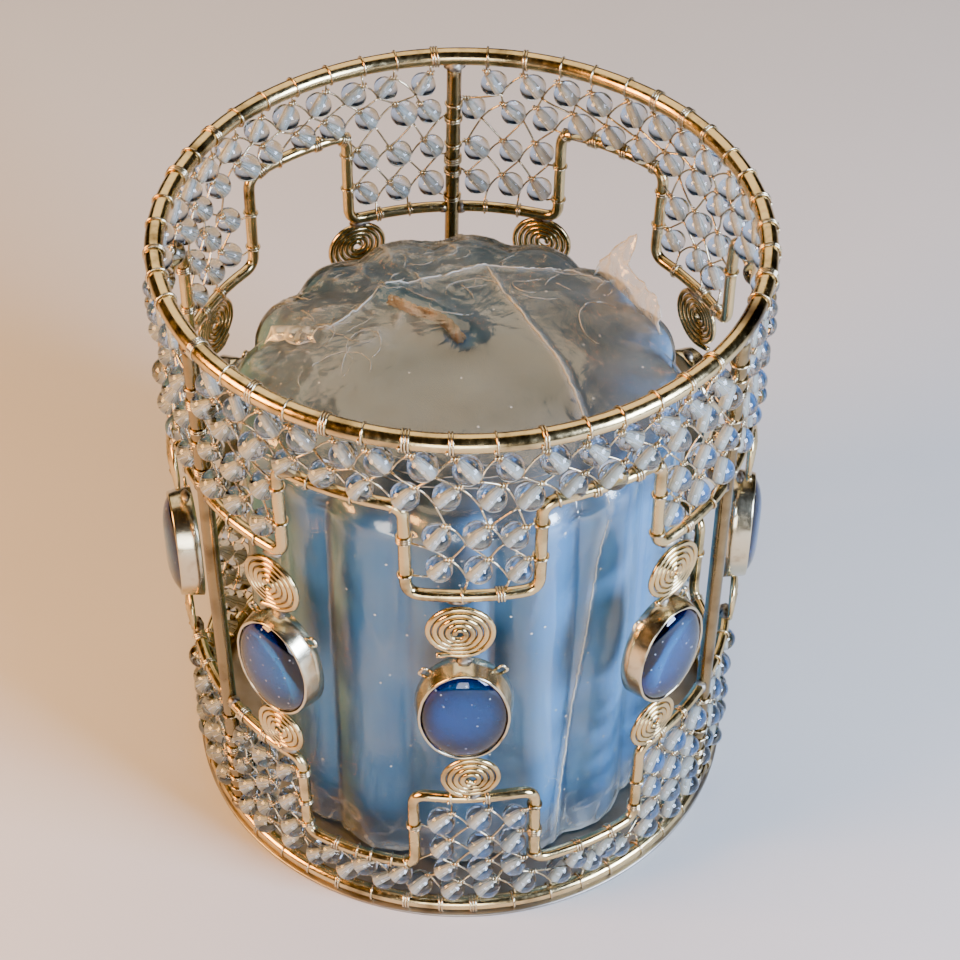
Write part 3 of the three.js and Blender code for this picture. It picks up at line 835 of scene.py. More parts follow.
bead_mesh = bead_shape(BEAD_RADIUS, BEAD_HOLE)
core_mesh = core_shape(BEAD_HOLE + CORE_FIT, BEAD_HOLE - CORE_WALL, BEAD_RADIUS * CORE_LENGTH)
for half in ("upper", "lower"):
    for side, panel_start in PANELS.items():
        draw = random.Random(f"{half} {side}")
        beads, cores, strands = [], [], []
        net = []
        for level, row in enumerate(bead_rows(half)):
            lean_way = -1 if half == "upper" and level == 0 and side != "right" else 1
            strung = []
            for z, place_along in row:
                jitter = draw.uniform(-BEAD_TURN_JITTER, BEAD_TURN_JITTER)
                azimuth = panel_start + place_along + jitter
                lift, out = (draw.uniform(-BEAD_JITTER, BEAD_JITTER) for _ in range(2))
                centre = wall(azimuth, z + lift, out)
                rightwards, upwards, outwards = wall_axes(azimuth, z)
                lean = math.radians(draw.uniform(*BEAD_LEAN))
                axis = math.cos(lean) * upwards + lean_way * math.sin(lean) * rightwards
                axis = unit(axis + draw.uniform(-BEAD_TILT, BEAD_TILT) * outwards)
                across = unit(np.cross(axis, outwards))
                axes = np.array([across, np.cross(axis, across), axis])
                size = draw.uniform(*BEAD_SIZES)
                shape = size * np.array([1, 1, draw.uniform(*BEAD_LENGTHS)])
                beads.append((centre + (bead_mesh[0] * shape) @ axes, bead_mesh[1]))
                cores.append((centre + (core_mesh[0] * shape) @ axes, core_mesh[1]))
                reach = axis * (BEAD_RADIUS * shape[2] + KNOT_OUT)
                strung.append((centre, centre + reach, centre - reach, rightwards, outwards))
            net.append((lean_way, strung))
        for level, (lean_way, strung) in enumerate(net):
            below = net[level + 1][1] if level + 1 < len(net) else []
            above = net[level - 1][1] if level else []
            for i, (centre, head, foot, rightwards, outwards) in enumerate(strung):
                strands.append(np.array([head, foot]))
                turns = np.linspace(0, KNOT_TURNS, KNOT_POINTS)[:, None]
                sweep = turns * 2 * math.pi
                coil = np.cos(sweep) * outwards + np.sin(sweep) * (0, 0, 1)
                slide = rightwards * (turns / KNOT_TURNS - 0.5) * KNOT_LENGTH
                strands.append(head + slide + coil * KNOT_RADIUS)
                j = i + lean_way
                beside = strung[j] if 0 <= j < len(strung) else None
                if beside and np.linalg.norm(beside[0] - centre) < LINK_REACH + 2:
                    stray = draw.uniform(-WIRE_STRAY, WIRE_STRAY)
                    bow = unit(head - centre) * WIRE_BOW + outwards * stray
                    strands.append(bent(head, beside[2], bow))
                elif host_distance(head) < WRAP_REACH:
                    strands.append(wrap_to(head, draw.choice(WRAP_TURNS)))
                linked = 0
                for way in (-1, 1):
                    near = [b[1] for b in below if way * np.dot(b[1] - foot, rightwards) > 0]
                    near = [k for k in near if np.linalg.norm(k - foot) < LINK_REACH]
                    if near:
                        knot = min(near, key=lambda k: np.linalg.norm(k - foot))
                        bow = outwards * draw.uniform(-CROSSING_STRAY, CROSSING_STRAY)
                        strands.append(bent(foot, knot, bow))
                        linked += 1
                if linked < 2 and host_distance(foot) < WRAP_REACH:
                    strands.append(wrap_to(foot, draw.choice(WRAP_TURNS)))
                fed = any(np.linalg.norm(a[2] - head) < LINK_REACH for a in above)
                if not fed and host_distance(head) < WRAP_REACH:
                    strands.append(wrap_to(head, draw.choice(WRAP_TURNS)))
        name = f"{half}_net_{side}"
        glass = make_object(f"{half}_beads_{side}", beads, bead_glass)
        mount(glass, "holder", "glass_beads", name)
        lining = make_object(f"{half}_bead_linings_{side}", cores, core_enamel)
        mount(lining, "holder", "glass_beads")
        wires = [swept(points, NET_WIRE / 2, NET_WIRE_SIDES) for points in strands]
        weave = make_object(f"{half}_net_wire_{side}", wires, binding_wire)
        mount(weave, "holder", "polished_wire")

# ---------------------------------------------------------------------------------------
# Spirals: flat close coils of thinner wire, one above and one below each stone. The outer
# end is left as a short tail against the bezel, and a rough drop of solder holds each coil
# to the tab wire.
COLUMN_COUNT = 9
SPIRAL_WIRE = 1.2
SPIRAL_RADIUS = {"upper": 7.6, "lower": 6.8}
SPIRAL_PITCH = 1.3
SPIRAL_EYE = 0.75
SPIRAL_DOME = 0.9
SPIRAL_OUT = 0.9
SPIRAL_POINTS_PER_TURN = 30
SPIRAL_SIDES = 10
COIL_DROP_SIZES = ((2.0, 2.8), (0.8, 1.1), (1.0, 1.3))
SPIRAL_WOBBLE = 0.09
SPIRAL_PINCH = 0.04
# The angle where the tail leaves, how much that varies, and the tail's length.
SPIRAL_TAILS = {"upper": (-98, 10, 2.6), "lower": (-80, 12, 1.0)}
COLUMN_DRIFT = 0.9
FRONT_COLUMN = 270
FRONT_DRIFT = (-2.6, -1.8, -0.4)


def placed(points, azimuth, z, out=0.0):
    """Points drawn to the right, up and outwards from a place on the wall."""
    return wall(azimuth, z, out) + np.asarray(points, float) @ np.array(wall_axes(azimuth, z))


def spiral_path(outer, end_angle, tail):
    """A flat coil from its eye out to a tail that leaves it at end_angle, in degrees."""
    turns = (outer - SPIRAL_WIRE / 2 - SPIRAL_EYE) / SPIRAL_PITCH
    angles = np.linspace(2 * math.pi * turns, 0, round(SPIRAL_POINTS_PER_TURN * turns))
    radius = outer - SPIRAL_WIRE / 2 - SPIRAL_PITCH * angles / (2 * math.pi)
    angles = angles + math.radians(end_angle)
    dome = SPIRAL_DOME * (1 - radius / outer)
    path = np.stack([radius * np.cos(angles), radius * np.sin(angles), dome], 1)
    leaving = unit(path[-1] - path[-2]) * (1, 1, 0)
    steps = np.linspace(0.2, 1, 4)[:, None]
    return np.vstack([path, path[-1] + leaving * tail * steps + np.array([0, 0, 0.5]) * steps])


columns = []
for number in range(1, COLUMN_COUNT + 1):
    draw = random.Random(number)
    azimuth = FRONT_COLUMN + (number - 1) * COLUMN_PITCH
    drift = FRONT_DRIFT
    if number != 1:
        drift = [draw.uniform(-COLUMN_DRIFT, COLUMN_DRIFT) for _ in range(3)]
    columns.append([azimuth + shift for shift in drift])
    for half, level in (("upper", 1), ("lower", -1)):
        name = f"{half}_spiral_{number}"
        outer = SPIRAL_RADIUS[half]
        azimuth = columns[-1][1 - level]
        z = outline_heights[half][0] - level * (OUTLINE_WIRE / 2 + outer)
        end_angle, spread, tail = SPIRAL_TAILS[half]
        path = spiral_path(outer, end_angle + draw.uniform(-spread, spread), tail)
        if half == "lower":
            path = path * (-1, 1, 1)
        path += SPIRAL_WOBBLE * np.stack([wavy(path, 3, number + k) for k in (0, 20, 40)], 1)
        path *= (1, 1 + draw.uniform(-0.03, 0.0), 1)
        thickness = SPIRAL_WIRE / 2 * (1 + SPIRAL_PINCH * wavy(path, 1.5, number + 60))
        coil = swept(placed(path, azimuth, z, SPIRAL_OUT), thickness, SPIRAL_SIDES)
        joint_z = z + level * (outer + 0.2)
        size = tuple(draw.uniform(*limits) for limits in COIL_DROP_SIZES)
        seat = wall(azimuth + draw.uniform(-0.5, 0.5), joint_z)
        drop = lump(seat, wall_axes(azimuth, z), size, number)
        mount(make_object(f"{name}_coil", [coil], wire_steel), "holder", "polished_wire", name)
        mount(make_object(f"{name}_solder", [drop], solder_tin), "holder", "polished_wire")

# ---------------------------------------------------------------------------------------
# Bezels: oval cups of thin sheet, each a band bent round a former and soldered to a back.
# The rim is burnished over the stone. Two small wire ears stand at the back edge, at ten and
# two o'clock, and the band shows the flats of the pliers.
BEZEL_STEPS = 72
BEZEL_WALL = 0.7
BEZEL_DEPTH = 5.0
RIM_STEPS = 6
HAMMER_DEPTH = 0.2
HAMMER_FINE = 0.08
BEZEL_RIM = 0.32
BEZEL_TAPER = 0.75
EAR_WIRE = 0.65
EAR_ANGLES = (48, 132)
EAR_REACH = 1.7
EAR_CORNER = 0.55
EAR_SIDES = 8
BEZEL_DROP_SIZES = ((1.3, 1.8), (0.7, 0.9), (0.8, 1.0))


def oval_solid(profile, half_width, half_height, steps, shape):
    """A solid on an oval plan from (inset, depth) points. shape moves each point a little."""
    angles = np.arange(steps) * 2 * math.pi / steps
    vertices, rings = [], []
    for inset, depth in profile:
        if inset is None:
            rings.append([len(vertices)] * steps)
            vertices.append((0, 0, depth))
            continue
        rings.append(list(range(len(vertices), len(vertices) + steps)))
        for a in angles:
            grow = shape(a, depth) - inset
            across, upwards = half_width + grow, half_height + grow
            vertices.append((across * math.cos(a), upwards * math.sin(a), depth))
    return np.array(vertices, float), ring_faces(rings)


# Fine sheet metal of a warm white, filed and burnished: bright with faint hammer flats and
# file marks, darker where polish has stayed in the corners.
bezel_sheet, tree, place = start_material("burnished_bezel_sheet")
flats = add_node(tree, "ShaderNodeTexVoronoi", {"Vector": place, "Scale": 1000 / 2.4})
file_marks = add_node(
    tree, "ShaderNodeTexNoise", {"Vector": place, "Scale": 1000 / 0.7, "Detail": 4.0}
)
grime = add_node(tree, "ShaderNodeTexNoise", {"Vector": place, "Scale": 1000 / 4, "Detail": 5.0})
grime_share = add_node(
    tree,
    "ShaderNodeMapRange",
    {"Value": grime.outputs["Fac"], "From Min": 0.52, "From Max": 0.8},
)
bezel_colour = add_node(
    tree,
    "ShaderNodeMix",
    {0: grime_share.outputs["Result"], 6: linear("#d8cbaa"), 7: linear("#8a7650")},
    data_type="RGBA",
)
bezel_roughness = add_node(
    tree, "ShaderNodeMapRange", {"Value": file_marks.outputs["Fac"], "To Min": 0.12, "To Max": 0.3}
)
flat_bump = add_node(
    tree,
    "ShaderNodeBump",
    {"Strength": 0.1, "Distance": 0.1 * MM, "Height": flats.outputs["Distance"]},
)
bump = add_node(
    tree,
    "ShaderNodeBump",
    {
        "Strength": 0.06,
        "Distance": 0.03 * MM,
        "Height": file_marks.outputs["Fac"],
        "Normal": flat_bump.outputs["Normal"],
    },
)
shader = add_node(
    tree,
    "ShaderNodeBsdfPrincipled",
    {
        "Base Color": bezel_colour.outputs[2],
        "Metallic": 1.0,
        "Roughness": bezel_roughness.outputs["Result"],
        "Normal": bump.outputs["Normal"],
    },
)
add_node(tree, "ShaderNodeOutputMaterial", {"Surface": shader.outputs["BSDF"]})

stone_low, stone_high = corners_of("cabochon_1")
cup_low, cup_high = corners_of("bezel_1")
stone_z = (stone_low[2] + stone_high[2]) / 2
stone_half = (stone_high[2] - stone_low[2]) / 2
half_width = (cup_high[0] - cup_low[0]) / 2
half_height = stone_half + half_width - (stone_high[0] - stone_low[0]) / 2
wall_radius_here = np.linalg.norm(wall(FRONT_COLUMN, stone_z)[:2])
cup_front = -cup_low[1] - wall_radius_here
cup_back = cup_front - BEZEL_DEPTH

for number in range(1, COLUMN_COUNT + 1):
    draw = random.Random(40 + number)
    azimuth = columns[number - 1][1]
    top = cup_front - cup_back
    rim_middle = top - BEZEL_RIM
    profile = [(None, 0.0), (1.2, 0.0), (0.25, 0.0), (0.0, 0.2), (BEZEL_TAPER * 0.35, top * 0.4)]
    profile += [(BEZEL_TAPER * 0.75, top * 0.75)]
    for i in range(RIM_STEPS + 1):
        angle = math.pi * i / RIM_STEPS
        inset = BEZEL_TAPER + BEZEL_RIM * (1 - math.cos(angle))
        profile.append((inset, rim_middle + BEZEL_RIM * math.sin(angle)))
    profile += [(BEZEL_TAPER + BEZEL_WALL - 0.1, top * 0.6), (BEZEL_WALL + 0.2, 1.2)]
    profile += [(1.6, 1.0), (None, 1.0)]
    seed = number * 3.7

    def hammered(angle, depth):
        around = Vector((2.2 * math.cos(angle), 2.2 * math.sin(angle), seed + depth * 0.15))
        return HAMMER_DEPTH * noise.noise(around) + HAMMER_FINE * noise.noise(around * 4)

    cup = oval_solid(profile, half_width, half_height, BEZEL_STEPS, hammered)
    parts = [(placed(cup[0], azimuth, stone_z, cup_back), cup[1])]
    for angle in EAR_ANGLES:
        lean = math.radians(angle + draw.uniform(-5, 5))
        root = np.array([half_width * math.cos(lean), half_height * math.sin(lean)]) * 0.985
        away = unit(np.array([math.cos(lean) / half_width, math.sin(lean) / half_height]))
        aside = np.array([-away[1], away[0]]) * draw.uniform(0.8, 1.1)
        reach = away * EAR_REACH
        plan = [root - aside, root - aside + reach, root + aside + reach, root + aside]
        path = rounded(np.array(plan), EAR_CORNER)
        loop = np.column_stack([path, np.full(len(path), 0.9 + draw.uniform(-0.2, 0.3))])
        loop_points = placed(loop, azimuth, stone_z, cup_back)
        parts.append(swept(loop_points, EAR_WIRE / 2, EAR_SIDES))
    bezel = make_object(f"bezel_{number}_cup", parts, bezel_sheet)
    mount(bezel, "holder", "polished_wire", f"bezel_{number}")
    drops = []
    for way in (-1, 1):
        size = tuple(draw.uniform(*limits) for limits in BEZEL_DROP_SIZES)
        centre = placed((0, way * (half_height + 0.1), 1.5), azimuth, stone_z, cup_back)
        drops.append(lump(centre, wall_axes(azimuth, stone_z), size, number + way))
    mount(make_object(f"bezel_{number}_solder", drops, solder_tin), "holder", "polished_wire")

# ---------------------------------------------------------------------------------------
# Cabochons: nine oval stones of cobalt glass, cast with a flat back and a domed front and
# polished all over. The colour is painted deepest blue at the rim as painted shade, and paler
# in the middle as painted light through the glass. The middle is thin enough to see through, with
# seed bubbles in it.
STONE_STEPS = 64
STONE_GIRDLE = 2.4
DOME_STEPS = 14
DOME_POWER = 0.85

cobalt_glass, tree, place = start_material("polished_cobalt_glass")
# The rim attribute darkens the glass towards its edge and leaves the middle paler: painted shade
# and painted light.
rim_shade_share = add_node(tree, "ShaderNodeAttribute", {}, attribute_name="rim")
rim_painted_shade = add_node(
    tree,
    "ShaderNodeMapRange",
    {"Value": rim_shade_share.outputs["Fac"], "From Min": 0.45, "From Max": 0.95},
    interpolation_type="SMOOTHSTEP",
)
shaded_body_colour = add_node(
    tree,
    "ShaderNodeMix",
    {0: rim_painted_shade.outputs["Result"], 6: linear("#2896ec"), 7: linear("#030d44")},
    data_type="RGBA",
)
seeds = add_node(
    tree, "ShaderNodeTexVoronoi", {"Vector": place, "Scale": 1000 / 1.9, "Randomness": 1.0}
)
seed_spots = add_node(
    tree,
    "ShaderNodeMapRange",
    {
        "Value": seeds.outputs["Distance"],
        "From Min": 0.1,
        "From Max": 0.15,
        "To Min": 1.0,
        "To Max": 0.0,
    },
)
stone_colour = add_node(
    tree,
    "ShaderNodeMix",
    {0: seed_spots.outputs["Result"], 6: shaded_body_colour.outputs[2], 7: linear("#cfe2f5")},
    data_type="RGBA",
)
polish = add_node(tree, "ShaderNodeTexNoise", {"Vector": place, "Scale": 1000 / 6, "Detail": 3.0})
stone_roughness = add_node(
    tree, "ShaderNodeMapRange", {"Value": polish.outputs["Fac"], "To Min": 0.01, "To Max": 0.07}
)
bump = add_node(
    tree,
    "ShaderNodeBump",
    {"Strength": 0.04, "Distance": 0.2 * MM, "Height": polish.outputs["Fac"]},
)
clear_share = add_node(
    tree,
    "ShaderNodeMapRange",
    {"Value": seed_spots.outputs["Result"], "To Min": 0.98, "To Max": 0.6},
)
shader = add_node(
    tree,
    "ShaderNodeBsdfPrincipled",
    {
        "Base Color": stone_colour.outputs[2],
        "Roughness": stone_roughness.outputs["Result"],
        "IOR": 1.52,
        "Transmission Weight": clear_share.outputs["Result"],
        "Normal": bump.outputs["Normal"],
    },
)
add_node(tree, "ShaderNodeOutputMaterial", {"Surface": shader.outputs["BSDF"]})

stone_half_width = (stone_high[0] - stone_low[0]) / 2
stone_back = -stone_high[1] - wall_radius_here
stone_front = -stone_low[1] - wall_radius_here
dome = stone_front - stone_back - STONE_GIRDLE
for number in range(1, COLUMN_COUNT + 1):
    azimuth = columns[number - 1][1]
    profile = [(None, 0.0)]
    profile += [(stone_half_width * (1 - share), 0.0) for share in (0.35, 0.7, 0.9)]
    profile += [(0.25, 0.12), (0.0, 0.5), (0.0, STONE_GIRDLE)]
    for i in range(1, DOME_STEPS):
        angle = math.pi / 2 * i / DOME_STEPS
        inset = stone_half_width * (1 - math.cos(angle) ** DOME_POWER)
        profile.append((inset, STONE_GIRDLE + dome * math.sin(angle)))
    profile.append((None, STONE_GIRDLE + dome))
    vertices, faces = oval_solid(
        profile, stone_half_width, stone_half, STONE_STEPS, lambda angle, depth: 0.0
    )
    stretch = np.array([1, stone_half / stone_half_width])
    inwards = np.linalg.norm(vertices[:, :2] / (stone_half_width * stretch), axis=1)
    stone_points = placed(vertices, azimuth, stone_z, stone_back)
    stone = make_object(f"cabochon_{number}_stone", [(stone_points, faces)], cobalt_glass)
    # Each point's share of the way out to the edge, used for the painted shade at the rim.
    rim = stone.data.attributes.new("rim", "FLOAT", "POINT")
    rim.data.foreach_set("value", np.clip(inwards, 0, 1).astype(np.float32))
    mount(stone, "holder", "cobalt_glass", f"cabochon_{number}")

# ---------------------------------------------------------------------------------------
# Candle: a cast pillar of blue-dyed wax with sixteen rounded flutes. Its top is domed, with
# a raised disc in the middle and a small well round the wick.
FLUTES = 16
FLUTE_DEPTH = 2.6
CANDLE_TURN = math.radians(-4.5)
CROWN = 11.0
SHOULDER_ROUND = 4.5
CANDLE_STEPS = 384
DISC_RADIUS = 27.5
DISC_RISE = 0.8
WELL_RADIUS = 6.0
WELL_DEPTH = 1.4
DISC_EDGE = 1.4
FLUTE_DROP = 1.6
SHOULDER_DROP = 0.7
WAX_SPACING = 1.5
FOOT_ROUND = 0.6
FOOT_INSET = 0.985

wax_low, wax_high = corners_of("candle_wax")
candle_radius = (wax_high[0] - wax_low[0]) / 2
candle_foot = wax_low[2]
shoulder_z = wax_high[2] - CROWN


def crown_z(radius):
    """The height of the candle's domed top at this radius."""
    return shoulder_z + CROWN * (1 - (radius / candle_radius) ** 2)


def candle_profile(foot, spacing):
    """(radius, z) points from the middle of the top, over the shoulder and down the side."""
    edge = candle_radius - SHOULDER_ROUND
    points = [(radius, crown_z(radius)) for radius in np.arange(spacing, edge, spacing)]
    drop = crown_z(edge) - (shoulder_z - SHOULDER_ROUND * SHOULDER_DROP)
    for angle in np.linspace(0, math.pi / 2, 9):
        out = edge + SHOULDER_ROUND * math.sin(angle)
        points.append((out, crown_z(edge) - drop * (1 - math.cos(angle))))
    side = np.linspace(points[-1][1], foot, round((points[-1][1] - foot) / spacing))
    return points + [(candle_radius, z) for z in side[1:]]


def fluted(radius, angle, z, depth):
    """A point of the candle's skin with the flutes cut in, as arrays."""
    cut = 1 - np.abs(np.cos(FLUTES / 2 * (angle - CANDLE_TURN)))
    share = np.minimum(radius / candle_radius, 1) ** 4
    inner = radius - depth * share * cut
    lowered = z - FLUTE_DROP * share**2 * cut * (z > shoulder_z - 2)
    return np.stack([inner * np.cos(angle), inner * np.sin(angle), lowered], -1)


# Dyed paraffin wax: translucent and a little milky, with lighter and darker streaks down the side
# that are painted reflection and painted shade, and a fine bloom. Light sinks a few millimetres in.
wax, tree, place = start_material("cast_dyed_paraffin")
vertical_shade_bands = add_node(tree, "ShaderNodeMapping", {"Vector": place, "Scale": (1.0, 1.0, 0.12)})
streaks = add_node(
    tree,
    "ShaderNodeTexNoise",
    {"Vector": vertical_shade_bands.outputs["Vector"], "Scale": 1000 / 9, "Detail": 5.0},
)
# Vertical streaks between a darker and a lighter blue: painted reflections and painted shade down
# the side.
wax_colour_with_painted_bands = add_node(
    tree,
    "ShaderNodeMix",
    {0: streaks.outputs["Fac"], 6: linear("#3a7dae"), 7: linear("#84b2d0")},
    data_type="RGBA",
)
bloom = add_node(tree, "ShaderNodeTexNoise", {"Vector": place, "Scale": 1000 / 2.5, "Detail": 6.0})
wax_roughness = add_node(
    tree, "ShaderNodeMapRange", {"Value": bloom.outputs["Fac"], "To Min": 0.3, "To Max": 0.5}
)
bump = add_node(
    tree,
    "ShaderNodeBump",
    {"Strength": 0.25, "Distance": 0.1 * MM, "Height": bloom.outputs["Fac"]},
)
shader = add_node(
    tree,
    "ShaderNodeBsdfPrincipled",
    {
        "Base Color": wax_colour_with_painted_bands.outputs[2],
        "Roughness": wax_roughness.outputs["Result"],
        "IOR": 1.44,
        "Subsurface Weight": 0.55,
        "Subsurface Radius": (0.6, 0.9, 1.2),
        "Subsurface Scale": 4 * MM,
        "Normal": bump.outputs["Normal"],
    },
)
add_node(tree, "ShaderNodeOutputMaterial", {"Surface": shader.outputs["BSDF"]})

angles = np.arange(CANDLE_STEPS) * 2 * math.pi / CANDLE_STEPS
rows = []
for radius, z in candle_profile(candle_foot + FOOT_ROUND, WAX_SPACING):
    step = np.clip((DISC_RADIUS + DISC_EDGE / 2 - radius) / DISC_EDGE, 0, 1)
    z += DISC_RISE * step * step * (3 - 2 * step) - DISC_RISE
    z -= WELL_DEPTH * max(0, 1 - (radius / WELL_RADIUS) ** 2) ** 2
    radii, heights = np.full(CANDLE_STEPS, radius), np.full(CANDLE_STEPS, z)
    rows.append(fluted(radii, angles, heights, FLUTE_DEPTH))
rows.append(rows[-1] * (FOOT_INSET, FOOT_INSET, 1) - (0, 0, FOOT_ROUND))
middle_top = (0, 0, crown_z(0) - WELL_DEPTH)
vertices = np.vstack([[middle_top], *rows, [(0, 0, candle_foot)]])
rings = [[0] * CANDLE_STEPS]
rings += [list(range(1 + i * CANDLE_STEPS, 1 + (i + 1) * CANDLE_STEPS)) for i in range(len(rows))]
rings.append([len(vertices) - 1] * CANDLE_STEPS)
pillar = make_object("candle_wax_pillar", [(vertices, ring_faces(rings[::-1]))], wax)
mount(pillar, "candle", "wax", "candle_wax")

# ---------------------------------------------------------------------------------------
# Wick: three plies of undyed cotton twisted together and waxed, bent over at the candle's
# middle so that it lies along the top. It is flattened and fuzzy at the cut end.
WICK_PLY = 0.72
WICK_TWIST = 5.0
WICK_LENGTH = 20
WICK_STEPS = 90
WICK_SIDES = 10
WICK_LIFT = 0.5
WICK_HUMP = 1.0
WICK_SINK = 1.6
WICK_WAVE = 0.25
WICK_FLATNESS = 0.8
PLY_SPACING = 0.85
PLY_PINCH = 0.12

wick_cotton, tree, place = start_material("waxed_twisted_cotton")
fibres = add_node(
    tree, "ShaderNodeTexNoise", {"Vector": place, "Scale": 1000 / 0.6, "Detail": 6.0}
)
wick_colour = add_node(
    tree,
    "ShaderNodeMix",
    {0: fibres.outputs["Fac"], 6: linear("#a9743c"), 7: linear("#f6cf9c")},
    data_type="RGBA",
)
wick_roughness = add_node(
    tree, "ShaderNodeMapRange", {"Value": fibres.outputs["Fac"], "To Min": 0.5, "To Max": 0.85}
)
bump = add_node(
    tree,
    "ShaderNodeBump",
    {"Strength": 0.7, "Distance": 0.15 * MM, "Height": fibres.outputs["Fac"]},
)
shader = add_node(
    tree,
    "ShaderNodeBsdfPrincipled",
    {
        "Base Color": wick_colour.outputs[2],
        "Roughness": wick_roughness.outputs["Result"],
        "Normal": bump.outputs["Normal"],
    },
)
add_node(tree, "ShaderNodeOutputMaterial", {"Surface": shader.outputs["BSDF"]})

wick_low, wick_high = corners_of("candle_wick")
wick_reach = np.array([wick_low[0], wick_high[1]])
wick_angle = math.atan2(wick_reach[1], wick_reach[0])
share = np.linspace(0, 1, WICK_STEPS)
along = share * WICK_LENGTH
heights = crown_z(along) + WICK_LIFT
spine = np.stack([along * math.cos(wick_angle), along * math.sin(wick_angle), heights], 1)
hump = WICK_HUMP * np.sin(math.pi * np.minimum(share * 1.6, 1))
spine[:, 2] += hump - WICK_SINK * (1 - np.minimum(share * 6, 1))
spine += WICK_WAVE * np.stack([wavy(spine, 5, k) for k in (3, 5, 8)], 1)
aside = np.array([-math.sin(wick_angle), math.cos(wick_angle), 0])
plies = []
for ply in range(3):
    twist = 2 * math.pi * (ply / 3 + along / WICK_TWIST)
    offset = np.outer(np.cos(twist), aside) + np.outer(np.sin(twist), (0, 0, WICK_FLATNESS))
    ply_radius = WICK_PLY * (1 + PLY_PINCH * wavy(spine, 0.8, ply + 4))
    plies.append(swept(spine + offset * WICK_PLY * PLY_SPACING, ply_radius, WICK_SIDES))
wick = make_object("candle_wick_plies", plies, wick_cotton)
mount(wick, "candle", "wick", "candle_wick")

# ---------------------------------------------------------------------------------------
# Shrink film: thin clear plastic shrunk tight round the candle. Welded seams cross the top and
# run down the side, the spare film stands up as an ear and lies down as a tab, and the top is
# crumpled into creases and air pockets where it shrank unevenly.
FILM_GAP = 0.55
FILM_STEPS = 512
FILM_FLUTE_DEPTH = 2.1
FILM_SPACING = 0.9
FILM_FOOT = 0.4
CREASE = 0.6
SAG = 0.35
TOP_SLACK = 0.3
SIDE_CREASE = 0.12
EDGE_CREASE = 0.25
WICK_TENT = 2.6
WICK_TENT_WIDTH = 4.5
SIDE_SEAM_HEIGHT = 0.4
SEAM_WANDER = 0.5
SEAM_HEIGHT = 0.45
SEAM_WIDTH = 0.8
SEAM_WELD = 0.2
SEAM_STEP = 0.5
# Corners of the seams: (x, y) on the top and (azimuth, z) down the side.
TOP_SEAM = [(-37, 10), (-27, 6.5), (-20, 11.5), (-14, 17), (-3, 21), (6, 25), (12.5, 24.5)]
TOP_SEAM += [(23.5, 27.5), (31, 24.5)]
CROSS_SEAM = [(6, 25), (8.5, 15.5), (14.5, 2.5), (19.5, -6.5), (23, -17), (26, -31), (28, -37)]
SIDE_SEAM = [(306, 100), (304, 90), (302, 67), (299, 43), (296, 17), (295, 2)]
CREASE_WELD = 0.14
# How milky the crease beads and pocket edges are, which paints highlights along them.
WELD_HAZE = 0.7
CREASE_HIGHLIGHT_HAZE = 0.42
WELD_SIDES = 6
CREASE_LINES = 46
CREASE_AZIMUTHS = (30, 235)
CREASE_RADII = (16, 39)
CREASE_CURL = 0.13
CREASE_POINTS = (8, 22)
CREASE_STEP = 0.4
POCKET_POINTS = 30
# Pockets of air, and three arcs that paint the sheen on the front shoulder: middle, half-width,
# half-depth, first and last angle of the raised edge.
POCKETS_AND_SHEEN_ARCS = [
    ((3, 14), 6, 5.5, 10, 190),
    ((-2, 6.5), 4.5, 3, 160, 350),
    ((-20, -1), 3.5, 4.5, -60, 230),
    ((-25, -7), 6.5, 5, -20, 150),
    ((-30, 5), 4, 4, -80, 120),
    ((30, 8), 5.5, 8, 60, 250),
    # The last three arcs are not pockets: their milky ridges paint the sheen on the front shoulder.
    ((0, 0), 33, 33, 236, 292),
    ((0, 0), 35.5, 35.5, 244, 288),
    ((0, 0), 37.5, 37.5, 238, 300),
]
EAR_BASE = ((30.0, 30.0), (42.5, 10.0))
EAR_STATIONS = (0, 0.05, 0.13, 0.28, 0.35, 0.45, 0.7, 0.92, 1)
EAR_HEIGHTS = (0, 4.5, 10, 14.5, 9.5, 7, 7, 6, 0)
EAR_LEAN = 4.5
EAR_CURL = 1.6
TAG_BASE = ((-38.5, 12.5), (-29.0, 7.5))
TAG_LENGTH = 5.5
TAG_HEADING = (-0.35, -0.9)
TAG_LIFT = 1.3
PATCH_SHAKE = (1.2, 1.2, 0.6)
PATCH_FOLDS = 0.3
# How milky each feature makes the film.
SEAM_HAZE = 0.22
TOP_HAZE = 0.17
SAG_HAZE = 0.1
FOLD_HAZE = 0.3
SIDE_HAZE = 0.06
EDGE_HAZE = 0.3
LEAST_HAZE = 0.02
FOOT_HAZE = 0.2
WICK_CLEARING = 0.75
WICK_CLEARING_WIDTH = 2.6

# Clear shrink film: glossy and see-through where it is tight, so only its reflections show,
# and milky along the welds, creases and scuffs. An attribute says how milky it is, and on the
# crease lines and pocket edges that milkiness is a painted highlight.
film_plastic, tree, place = start_material("clear_shrink_film")
haze_and_highlight = add_node(tree, "ShaderNodeAttribute", {}, attribute_name="haze_and_highlight")
cloud = add_node(tree, "ShaderNodeTexNoise", {"Vector": place, "Scale": 1000 / 16, "Detail": 5.0})
cloud_share = add_node(
    tree,
    "ShaderNodeMapRange",
    {
        "Value": cloud.outputs["Fac"],
        "From Min": 0.4,
        "From Max": 0.75,
        "To Min": 0.0,
        "To Max": 0.12,
    },
)
specks = add_node(
    tree, "ShaderNodeTexVoronoi", {"Vector": place, "Scale": 1000 / 4.5, "Randomness": 1.0}
)
speck_spots = add_node(
    tree,
    "ShaderNodeMapRange",
    {
        "Value": specks.outputs["Distance"],
        "From Min": 0.045,
        "From Max": 0.075,
        "To Min": 0.8,
        "To Max": 0.0,
    },
)
